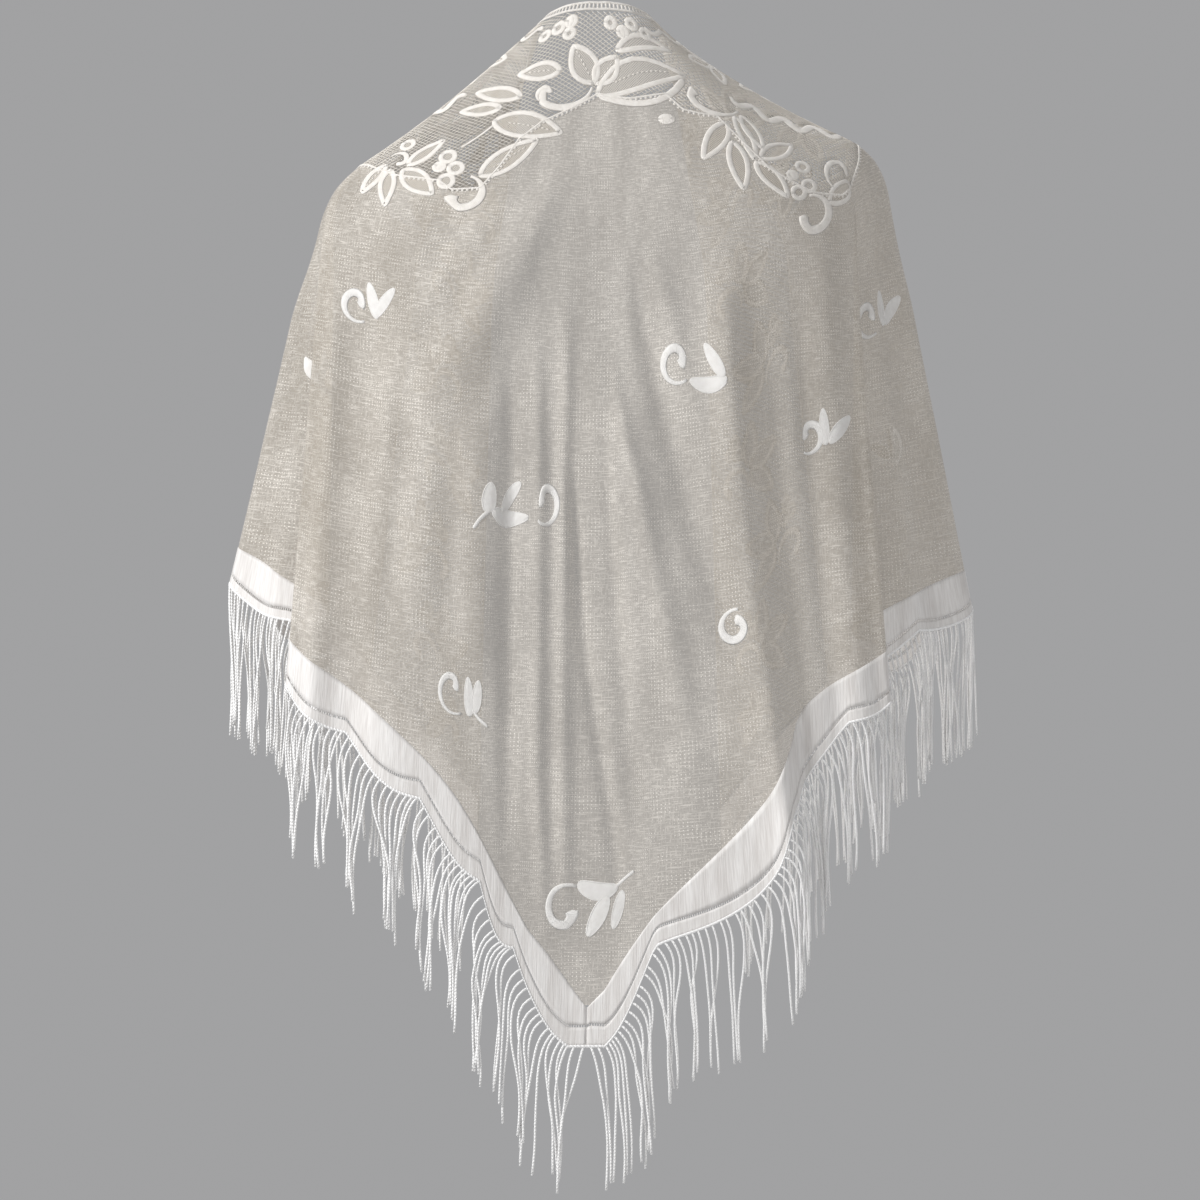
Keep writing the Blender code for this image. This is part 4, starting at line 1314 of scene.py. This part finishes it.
@dataclass
class Net:
    """The diamond net behind the motifs, of single threads laid two ways."""

    needle: Needle
    pitch: float = 0.0033
    slant: float = 36.0
    half: float = 0.00036
    height: float = 0.00042
    look: float = 0.00125
    stitch: float = 0.006

    def lay(self, parts: MeshParts, low: Array, high: Array, wanted: Callable[[Array], Array]) -> None:
        """Lay the threads wherever they are wanted.

        Args:
            parts: Where they are gathered.
            low: Lowest flat corner of the cloth.
            high: Highest flat corner of the cloth.
            wanted: Tells which flat places have net.
        """
        corners = np.array([(x, y) for x in (low[0], high[0]) for y in (low[1], high[1])])
        for slant in (math.radians(self.slant), -math.radians(self.slant)):
            along = np.array((math.cos(slant), math.sin(slant)))
            side = np.array((-along[1], along[0]))
            offsets = np.arange((corners @ side).min(), (corners @ side).max(), self.pitch)
            reaches = np.arange((corners @ along).min(), (corners @ along).max(), self.look)
            places = offsets[:, None, None] * side + reaches[None, :, None] * along
            kept = wanted(places.reshape(-1, 2)).reshape(places.shape[:2])
            for row, inside in zip(places, kept):
                self._threads(parts, row, inside)

    def _threads(self, parts: MeshParts, row: Array, inside: Array) -> None:
        """Lay the stretches of one straight thread that are inside."""
        ends = np.flatnonzero(np.diff(np.concatenate([[False], inside, [False]]).astype(np.int8)))
        for first, last in zip(ends[::2], ends[1::2]):
            if last - first < 2:
                continue
            count = max(2, round((last - 1 - first) * self.look / self.stitch) + 1)
            picks = np.linspace(first, last - 1, count).round().astype(int)
            self.needle.cord(parts, row[picks], self.half, self.height, profile=THREAD_PROFILE)


class Lace:
    """What all lace cloths share: motifs stitched on a flat lay, and a net between them.

    Each kind has methods wanted, which tells where it has net, and outline, which gives its whole edge.
    """

    def lay_out(self, layout: Layout, motifs: list[Motif]) -> None:
        """Lay the cloth flat with its motifs.

        Args:
            layout: The flat lay.
            motifs: All that is stitched on it.
        """
        self.layout = layout
        self.needle = Needle(layout.drape, layout)
        self.motifs = motifs
        self.outlines = [motif.outline(layout) for motif in motifs]

    def between(self, flat: Array, kept: Array) -> Array:
        """Which of the kept flat places lie outside all motifs."""
        for outline in self.outlines:
            kept &= ~within(flat, outline)
        return kept

    def work(self, weave: Net) -> tuple[MeshParts, MeshParts, MeshParts]:
        """The net, the motifs' raised bands and their sheer fills."""
        net, bands, fills = MeshParts(), MeshParts(), MeshParts()
        outline = self.outline()
        weave.lay(net, outline.min(axis=0), outline.max(axis=0), self.wanted)
        embroidery = Embroidery(self.needle)
        for motif in self.motifs:
            embroidery.stitch(motif, bands, fills)
        return net, bands, fills

    def declare(self, net: MeshParts, fills: MeshParts, names: tuple[str, str], node: str) -> list[Piece]:
        """Args:
            net: The net with its bands.
            fills: The sheer fills.
            names: Names of the two pieces.
            node: The solid that the lace stands for.

        Returns:
            The two pieces.
        """
        lace = net.piece(names[0], NET_FINISH.material(), OUTLINE_FINISH.material())
        filling = fills.piece(names[1], FILL_FINISH.material())
        fit(lace, "lace", node)
        fit(filling, "lace")
        cut = Cut.of(self.outline())
        return [lace, filling]


@dataclass
class Yoke(Lace):
    """The shaped floral lace round the neck, over the shoulders and across the upper back."""

    drape: Drape
    last_line: int = 9
    top: float = 0.0085
    edge_half: float = 0.0011
    edge_height: float = 0.0008
    seam_half: float = 0.0007
    clear: float = 0.0008
    hole: float = 0.0023
    bar_pitch: float = 0.0044
    bar_half: float = 0.0012
    bar_length: float = 0.0032
    bar_height: float = 0.0005
    slope_reach: float = 0.04
    most_slope: float = 0.92
    probe: float = 0.001
    seam_stations: int = 60

    def __post_init__(self) -> None:
        """Lay the yoke flat with its motifs."""
        layout = YokeLayout(self.drape)
        sprigs = [motif for spot in YOKE_SPRIGS for motif in sprig(layout, spot)]
        self.lay_out(layout, [*YOKE_LEAVES, *YOKE_RINGS, *YOKE_SCROLLS, *YOKE_VINES, *sprigs])

    def edge(self, lines: Array) -> Array:
        """Distance down fall lines of the lace's lower edge."""
        angles, downs = zip(*YOKE_EDGE)
        return np.interp(np.interp(lines, self.drape.lines, self.layout.angles), np.radians(angles), downs)

    def wanted(self, flat: Array) -> Array:
        """Which flat places have net: those of the yoke outside its motifs."""
        lines, downs = self.layout.place(flat)
        below, above = downs > self.top, downs < self.edge(lines) - self.clear
        return self.between(flat, (np.abs(lines) < self.last_line) & below & above)

    def edge_path(self, step: float = 0.012) -> Array:
        """The lower edge in the flat lay, from right to left."""
        lines = np.arange(-self.last_line, self.last_line + step / 2, step)
        return self.layout.laid(lines, self.edge(lines))

    def field_top(self, lines: Array) -> Array:
        """Distance down fall lines where the field starts, below the row of holes."""
        low = np.maximum(lines - self.slope_reach, -self.last_line)
        high = np.minimum(lines + self.slope_reach, self.last_line)
        from_edge, to_edge = self.edge(low), self.edge(high)
        run = np.linalg.norm(self.layout.laid(high, to_edge) - self.layout.laid(low, from_edge), axis=1)
        slope = np.clip(np.abs(to_edge - from_edge) / np.maximum(run, 1e-6), 0, self.most_slope)
        return self.edge(lines) + self.hole / np.sqrt(1 - slope**2)

    def bars(self, parts: MeshParts) -> None:
        """Add the short bars between the holes under the lace's lower edge."""
        path = self.edge_path()
        places = np.arange(self.bar_pitch, runs_along(path)[-1], self.bar_pitch)
        feet, ahead = along_path(path, places), along_path(path, places + self.probe)
        for foot, along in zip(feet, unit(ahead - feet)):
            tip = foot + np.array((along[1], -along[0])) * self.bar_length
            self.needle.cord(parts, np.array((foot, tip)), self.bar_half, self.bar_height)

    def outline(self) -> Array:
        """The whole yoke's edge as a closed path."""
        lines = np.linspace(self.last_line, -self.last_line, 200)
        return np.vstack([self.edge_path(), self.layout.laid(lines, np.full(len(lines), self.top))])

    def dress(self) -> list[Piece]:
        net, bands, fills = self.work(Net(self.needle))
        self.needle.cord(bands, self.edge_path(), self.edge_half, self.edge_height)
        self.bars(bands)
        for line in (-self.last_line, self.last_line):
            lines = np.full(self.seam_stations, float(line))
            path = self.layout.laid(lines, np.linspace(self.top, self.edge(lines[:1])[0], len(lines)))
            self.needle.cord(bands, path, self.seam_half, self.edge_height)
        net.take(bands, 1)
        return self.declare(net, fills, ("yoke_lace", "yoke_fills"), "lace_yoke")


@dataclass
class LaceFront(Lace):
    """The lace that runs down one front edge from the yoke."""

    drape: Drape
    side: Side
    first_line: int = 9
    top: float = 0.0085
    edge_half: float = 0.0013
    edge_height: float = 0.0009
    inset: float = 0.0012
    thread_half: float = 0.00046
    thread_height: float = 0.00052

    def __post_init__(self) -> None:
        """Lay the band flat with its motifs."""
        layout = FrontLayout(self.drape, self.side)
        self.lay_out(layout, [motif for spot in FRONT_SPRIGS for motif in sprig(layout, spot)])

    def wanted(self, flat: Array) -> Array:
        """Which flat places have net: those of the band outside its motifs."""
        lines, downs = self.layout.place(flat)
        reach = lines * self.side.value
        kept = (reach > self.first_line) & (reach < self.drape.last) & (downs > self.top)
        kept[kept] &= downs[kept] < self.drape.band_top(lines[kept]) - self.inset
        return self.between(flat, kept)

    def edge_path(self, line: float, count: int = 160) -> Array:
        """One long edge in the flat lay, from the top down."""
        lines = np.full(count, line * self.side.value)
        foot = float(self.drape.band_top(lines[:1])[0])
        return self.layout.laid(lines, np.linspace(self.top, foot, count))

    def outline(self) -> Array:
        """The whole band's edge as a closed path."""
        return np.vstack([self.edge_path(self.drape.last), self.edge_path(self.first_line)[::-1]])

    def dress(self) -> list[Piece]:
        weave = Net(self.needle, half=self.thread_half, height=self.thread_height)
        net, bands, fills = self.work(weave)
        for line in (self.drape.last, self.first_line):
            self.needle.cord(bands, self.edge_path(line), self.edge_half, self.edge_height)
        net.take(bands, 1)
        name = self.side.name.lower()
        names = (f"front_lace_{name}", f"front_fills_{name}")
        return self.declare(net, fills, names, f"lace_front_{name}")


@dataclass
class NeckEdging:
    """The ribbed strip along the neck, with short upright slots between its ribs."""

    drape: Drape
    width: float = 0.008
    rail_half: float = 0.0012
    rail_height: float = 0.0010
    rib_half: float = 0.0011
    rib_height: float = 0.0008
    rib_pitch: float = 0.0036
    stations: int = 1200

    def dress(self) -> Piece:
        """Make the edging and fit it on the shawl."""
        needle = Needle(self.drape, YokeLayout(self.drape))
        parts = MeshParts()
        lines = np.linspace(-self.drape.last, self.drape.last, self.stations)
        for down in (self.rail_half, self.width - self.rail_half):
            path = needle.layout.laid(lines, np.full(len(lines), down))
            needle.cord(parts, path, self.rail_half, self.rail_height)
        points, _ = self.drape.read(lines, np.full(len(lines), self.width / 2))
        runs = runs_along(points)
        for run in np.arange(self.rib_pitch, runs[-1], self.rib_pitch):
            line = np.full(2, np.interp(run, runs, lines))
            path = needle.layout.laid(line, np.array((self.rail_half, self.width - self.rail_half)))
            needle.cord(parts, path, self.rib_half, self.rib_height)
        return fit(parts.piece("neck_ribs", EDGING_FINISH.material()), "edging", "neck_edging")


@dataclass
class FieldCloth:
    """The sheer woven ground, one cut of cloth from the yoke's lace to the border."""

    drape: Drape
    yoke: Yoke
    last_line: int = 9
    column_step: float = 0.0035
    rows: int = 130
    spray_lift: float = 0.0003
    rim_half: float = 0.0006
    rim_height: float = 0.0005
    band_height: float = 0.0006

    def __post_init__(self) -> None:
        """Lay the field flat."""
        self.layout = FieldLayout(self.drape)

    def grid(self) -> tuple[Array, Array]:
        """Fall lines and distances down them of the field's vertices, by (across, down)."""
        right, left = np.interp((-self.last_line, self.last_line), self.drape.lines, self.layout.runs)
        runs = np.linspace(right, left, int((left - right) / self.column_step))
        lines = np.interp(runs, self.layout.runs, self.drape.lines)
        top = self.yoke.field_top(lines)
        foot = self.drape.band_top(lines)
        distances = top[:, None] + (foot - top)[:, None] * np.linspace(0, 1, self.rows)
        return np.broadcast_to(lines[:, None], distances.shape), distances

    def build(self) -> tuple[Piece, Cut]:
        """Make the cloth and measure its cut."""
        lines, distances = self.grid()
        points, _ = self.drape.read(lines.ravel(), distances.ravel())
        laid = self.layout.laid(lines, distances)
        parts = MeshParts()
        add_sheet(parts, points.reshape(*lines.shape, 3), laid)
        cut = Cut.of(np.vstack([laid[:, 0], laid[::-1, -1]]))
        return parts.piece("field_cloth", FIELD_FINISH.material()), cut

    def sprays(self) -> Piece:
        """The opaque leaves and scrolls woven into the field."""
        needle = Needle(self.drape, self.layout)
        parts = MeshParts()
        for leaf in FIELD_LEAVES:
            needle.fill(parts, leaf.inside(self.layout), self.spray_lift, self.spray_lift)
            needle.cord(parts, leaf.outline(self.layout), self.rim_half, self.rim_height, closed=True)
        for band in FIELD_SCROLLS + FIELD_STEMS:
            needle.cord(parts, band.path(self.layout), band.half_widths(), self.band_height)
        return parts.piece("woven_sprays", SPRAY_FINISH.material())

    def dress(self, hems: list[Piece], rests_on: list[Piece]) -> None:
        """Args:
            hems: Not used.
            rests_on: Not used.
        """
        cloth, cut = self.build()
        fit(cloth, "field", "field_back", "field_wing_left", "field_wing_right")
        sprays = fit(self.sprays(), "field")


@dataclass
class Border:
    """The dense scalloped band of one short edge, with a thin sheer line inside its hem."""

    drape: Drape
    side: Side
    thickness: float = 0.0010
    column_step: float = 0.0035
    sheer_inset: float = 0.0092
    sheer_half: float = 0.0011
    bar_pitch: float = 0.0022
    bar_half: float = 0.0004
    hem_inset: float = 0.0015
    rows: tuple[int, int] = (9, 6)

    def columns(self, step: float) -> tuple[Array, Array]:
        """Fall lines at even steps along the hem, in increasing order, and their distances from the tip."""
        lines, runs = self.drape.hem_runs[self.side.value]
        even = np.linspace(0, runs[-1], int(runs[-1] / step))
        found = self.side.value * np.interp(even, runs, lines)
        order = np.argsort(found)
        return found[order], self.side.value * even[order]

    def levels(self, lines: Array) -> tuple[Array, Array, Array]:
        """Distances down of the band's top, its sheer line and its hem."""
        full = self.drape.full_length(lines)
        sheer = full - self.sheer_inset * self.drape.lobe_reach(lines)
        return self.drape.band_top(lines), sheer, full - self.hem_inset

    def strip(
        self, parts: MeshParts, lines: Array, runs: Array, top: Array, foot: Array, rows: int,
    ) -> None:
        """Add one strip of the band between two levels.

        Args:
            parts: Where it is gathered.
            lines: Fall lines of its columns.
            runs: Distances of the columns from the tip.
            top: Distances down to its upper edge.
            foot: Distances down to its lower edge.
            rows: How many vertices each column has.
        """
        distances = top[:, None] + (foot - top)[:, None] * np.linspace(0, 1, rows)
        grid = np.broadcast_to(lines[:, None], distances.shape)
        points, normals = self.drape.read(grid.ravel(), distances.ravel())
        across = np.broadcast_to(runs[:, None], distances.shape)
        laid = np.stack([across, self.drape.full_length(lines)[:, None] - distances], axis=-1)
        shape = (*distances.shape, 3)
        add_shell(parts, points.reshape(shape), normals.reshape(shape), self.thickness, laid)

    def dress(self) -> Piece:
        """Make the border and fit it on the shawl."""
        parts = MeshParts()
        lines, runs = self.columns(self.column_step)
        top, sheer, hem = self.levels(lines)
        self.strip(parts, lines, runs, top, sheer - self.sheer_half, self.rows[0])
        self.strip(parts, lines, runs, sheer + self.sheer_half, hem, self.rows[1])
        needle = Needle(self.drape, FieldLayout(self.drape))
        lines, _ = self.columns(self.bar_pitch)
        _, sheer, _ = self.levels(lines)
        for line, level in zip(lines, sheer):
            ends = np.array((level - 2 * self.sheer_half, level + 2 * self.sheer_half))
            path = needle.layout.laid(np.full(2, line), ends)
            needle.cord(parts, path, self.bar_half, self.bar_half, profile=THREAD_PROFILE)
        name = self.side.name.lower()
        piece = parts.piece(f"border_band_{name}", BORDER_FINISH.material())
        return fit(piece, "border", f"border_back_{name}", f"border_wing_{name}")


@dataclass(frozen=True)
class Stretch:
    """A stretch of the fringe: which fall lines it runs between, and how far apart its cords are."""

    name: str
    start: float
    end: float
    pitch: float
    seed: int


STRETCHES = (
    Stretch("back_left", 0, 5, 0.0068, 11),
    Stretch("back_right", -5, 0, 0.0068, 23),
    Stretch("wing_left", 5, 10, 0.0056, 31),
    Stretch("wing_right", -10, -5, 0.0056, 47),
)


@dataclass
class Fringe:
    """One stretch of long cords knotted into the hem."""

    drape: Drape
    stretch: Stretch
    cord_radius: float = 0.0010
    head_half: float = 0.0013
    head_height: float = 0.0012
    head_stations: int = 420
    length: float = 0.124
    stations: int = 16
    sides: int = 6
    spread: float = 1.25
    bend_over: float = 0.016
    bend_power: float = 1.4
    slope_span: float = 0.04
    root_inset: float = 0.0012
    place_sway: tuple[float, float] = (-0.22, 0.22)
    length_sway: tuple[float, float] = (0.93, 1.05)
    stiff: float = 0.95
    splay: float = 0.03
    wave_turns: tuple[float, float] = (3.0, 8.0)
    wave_size: tuple[float, float] = (0.0006, 0.0030)
    depth_sway: tuple[float, float] = (-0.0035, 0.0045)
    clump: tuple[int, int] = (3, 8)
    clump_pull: tuple[float, float] = (0.45, 0.95)
    cord_pull: tuple[float, float] = (0.75, 1.10)
    stray_share: float = 0.12
    stray_pull: tuple[float, float] = (-0.35, 1.7)
    lift_share: float = 0.15

    def hem(self, runs: Array) -> tuple[Array, Array]:
        """Points and normals of the hem at distances along it from the tip, positive on the left."""
        side = 1 if self.stretch.end > 0 else -1
        steps, reach = self.drape.hem_runs[side]
        lines = side * np.interp(np.abs(runs), reach, steps)
        return self.drape.read(lines, self.drape.full_length(lines) - self.root_inset)

    def span(self) -> tuple[float, float]:
        """Where the stretch starts and ends along the hem."""
        start, end = self.drape.hem_distance(np.array((self.stretch.start, self.stretch.end), float))
        return float(start), float(end)

    def leaving(self, runs: Array) -> Array:
        """The way each cord leaves the hem: in the cloth and square to the hem's slope."""
        start, end = self.span()
        before = self.hem(np.clip(runs - self.slope_span, start, end))[0]
        after = self.hem(np.clip(runs + self.slope_span, start, end))[0]
        chord = after - before
        rise = chord[:, 2] / np.linalg.norm(chord, axis=1)
        direction = unit(chord * (1, 1, 0)) * rise[:, None]
        direction[:, 2] = -np.sqrt(1 - rise**2)
        return direction

    def paths(self) -> Array:
        """Middle lines of all the cords, by (cord, station)."""
        random = np.random.default_rng(self.stretch.seed)
        start, end = self.span()
        count = int((end - start) / self.stretch.pitch)
        places = np.arange(count) + 0.5 + random.uniform(*self.place_sway, count)
        runs = start + places * (end - start) / count
        roots, normals = self.hem(runs)
        leaving = self.leaving(runs)
        lengths = self.length * random.uniform(*self.length_sway, count)
        share = np.linspace(0, 1, self.stations) ** self.spread
        down = np.array((0.0, 0.0, -1.0))
        points = np.zeros((count, self.stations, 3))
        points[:, 0] = roots
        for k in range(1, self.stations):
            gone = (share[k] + share[k - 1]) / 2 * lengths
            hold = np.exp(-((gone / self.bend_over) ** self.bend_power))[:, None] * self.stiff + self.splay
            way = unit(leaving * hold + down * (1 - hold))
            points[:, k] = points[:, k - 1] + way * ((share[k] - share[k - 1]) * lengths)[:, None]
        points += self.drawn(points, share, random)
        tangent = unit(np.cross(normals, down))
        turn = random.uniform(0, 2 * math.pi, (count, 1))
        wave = np.sin(turn + share * random.uniform(*self.wave_turns, (count, 1))) - np.sin(turn)
        loose = np.clip(share * 3 - 0.2, 0, 1) * random.uniform(*self.wave_size, (count, 1))
        depth = share * random.uniform(*self.depth_sway, (count, 1))
        points += tangent[:, None, :] * (wave * loose)[:, :, None] + normals[:, None, :] * depth[:, :, None]
        return points

    def drawn(self, points: Array, share: Array, random: np.random.Generator) -> Array:
        """How far each cord is drawn sideways into its clump, by (cord, station)."""
        moves = np.zeros_like(points)
        ease = eased(np.clip(share * 1.5 - 0.10, 0, 1))
        first = 0
        while first < len(points):
            last = min(first + int(random.integers(*self.clump)), len(points))
            ends = points[first:last, -1]
            pull = random.uniform(*self.clump_pull) * random.uniform(*self.cord_pull, last - first)
            stray = random.random(last - first) < self.stray_share
            pull[stray] = random.uniform(*self.stray_pull, int(stray.sum()))
            target = ends.mean(axis=0) - ends
            target[:, 2] *= self.lift_share
            moves[first:last] = target[:, None, :] * pull[:, None, None] * ease[None, :, None]
            first = last
        return moves

    def dress(self) -> Piece:
        """Make the stretch and fit it on the shawl."""
        parts = MeshParts()
        needle = Needle(self.drape, FieldLayout(self.drape))
        lines = np.linspace(self.stretch.start, self.stretch.end, self.head_stations)
        head = needle.layout.laid(lines, self.drape.full_length(lines) - self.head_half)
        needle.cord(parts, head, self.head_half, self.head_height)
        angles = np.linspace(0, 2 * math.pi, self.sides, endpoint=False)
        for path in self.paths():
            tangent = unit(np.gradient(path, axis=0))
            side = unit(np.cross(tangent, unit(path[0] * (1, 1, 0))))
            over = np.cross(tangent, side)
            round_it = side[:, None] * np.cos(angles)[:, None] + over[:, None] * np.sin(angles)[:, None]
            add_tube(parts, path[:, None] + round_it * self.cord_radius, runs_along(path))
        piece = parts.piece(f"cords_{self.stretch.name}", CORD_FINISH.material())
        return fit(piece, "fringe", f"fringe_{self.stretch.name}")


@dataclass(frozen=True)
class Lamp:
    """A soft area light."""

    name: str
    place: tuple[float, float, float]
    power: float
    size: float


@dataclass(frozen=True)
class Studio:
    """A plain pale floor, soft lights and the camera square behind the shawl."""

    camera_place: tuple[float, float, float] = (-0.0017, 3.0, -0.374)
    aim: tuple[float, float, float] = (0.0, 0.0, -0.35)
    lens: float = 99.42
    sensor: float = 36.0
    floor_level: float = -1.40
    floor_radius: float = 2.4
    floor_grey: float = 0.62
    sky: tuple[float, float, float] = (0.36, 0.36, 0.365)
    lamps: tuple[Lamp, ...] = (
        Lamp("key", (3.0, 1.8, 1.5), 142.0, 1.2),
        Lamp("fill", (-2.6, 2.8, 0.3), 26.0, 2.4),
        Lamp("rim", (0.3, -2.2, 2.0), 50.0, 2.0),
    )

    def place_camera(self) -> None:
        """Add the camera."""
        data = bpy.data.cameras.new("camera")
        data.lens, data.sensor_width, data.sensor_fit = self.lens, self.sensor, "HORIZONTAL"
        camera = bpy.data.objects.new("camera", data)
        camera.location = self.camera_place
        camera.rotation_euler = (math.pi / 2, 0.0, math.pi)
        bpy.context.scene.collection.objects.link(camera)
        bpy.context.scene.camera = camera

    def light(self) -> None:
        """Add the lamps and the pale surroundings."""
        for lamp in self.lamps:
            data = bpy.data.lights.new(lamp.name, "AREA")
            data.energy, data.size = lamp.power, lamp.size
            thing = bpy.data.objects.new(lamp.name, data)
            thing.location = lamp.place
            towards = Vector(self.aim) - Vector(lamp.place)
            thing.rotation_euler = towards.to_track_quat("-Z", "Y").to_euler()
            bpy.context.scene.collection.objects.link(thing)
        world = bpy.data.worlds.new("studio")
        world.use_nodes = True
        world.node_tree.nodes["Background"].inputs["Color"].default_value = (*self.sky, 1.0)
        bpy.context.scene.world = world
        bpy.context.scene.view_settings.view_transform = "Standard"

    def lay_floor(self) -> None:
        """Add the floor, well below the fringe."""
        bpy.ops.mesh.primitive_circle_add(
            vertices=96, radius=self.floor_radius, fill_type="NGON", location=(0.0, 0.0, self.floor_level)
        )
        floor = bpy.context.object
        floor.name = "floor"
        bpy.ops.object.transform_apply(location=True, rotation=True, scale=True)
        material = bpy.data.materials.new("pale floor")
        material.use_nodes = True
        shader = material.node_tree.nodes["Principled BSDF"]
        shader.inputs["Base Color"].default_value = (self.floor_grey, self.floor_grey, self.floor_grey, 1.0)
        shader.inputs["Roughness"].default_value = 0.9
        floor.data.materials.append(material)

    def set_up(self) -> None:
        """Add everything that isn't part of the shawl."""
        self.place_camera()
        self.light()
        self.lay_floor()


def main() -> None:
    """Dress the shawl and light it."""
    logging.basicConfig(level=logging.INFO, format="%(name)s: %(message)s")
    bpy.ops.object.select_all(action="DESELECT")
    Studio().set_up()
    drape = Drape()
    yoke = Yoke(drape)
    lace = yoke.dress()
    for side in Side:
        LaceFront(drape, side).dress()
    NeckEdging(drape).dress()
    hems = [Border(drape, side).dress() for side in Side]
    hems += [Fringe(drape, stretch).dress() for stretch in STRETCHES]
    FieldCloth(drape, yoke).dress(hems, lace[:1])


if __name__ == "__main__":
    main()
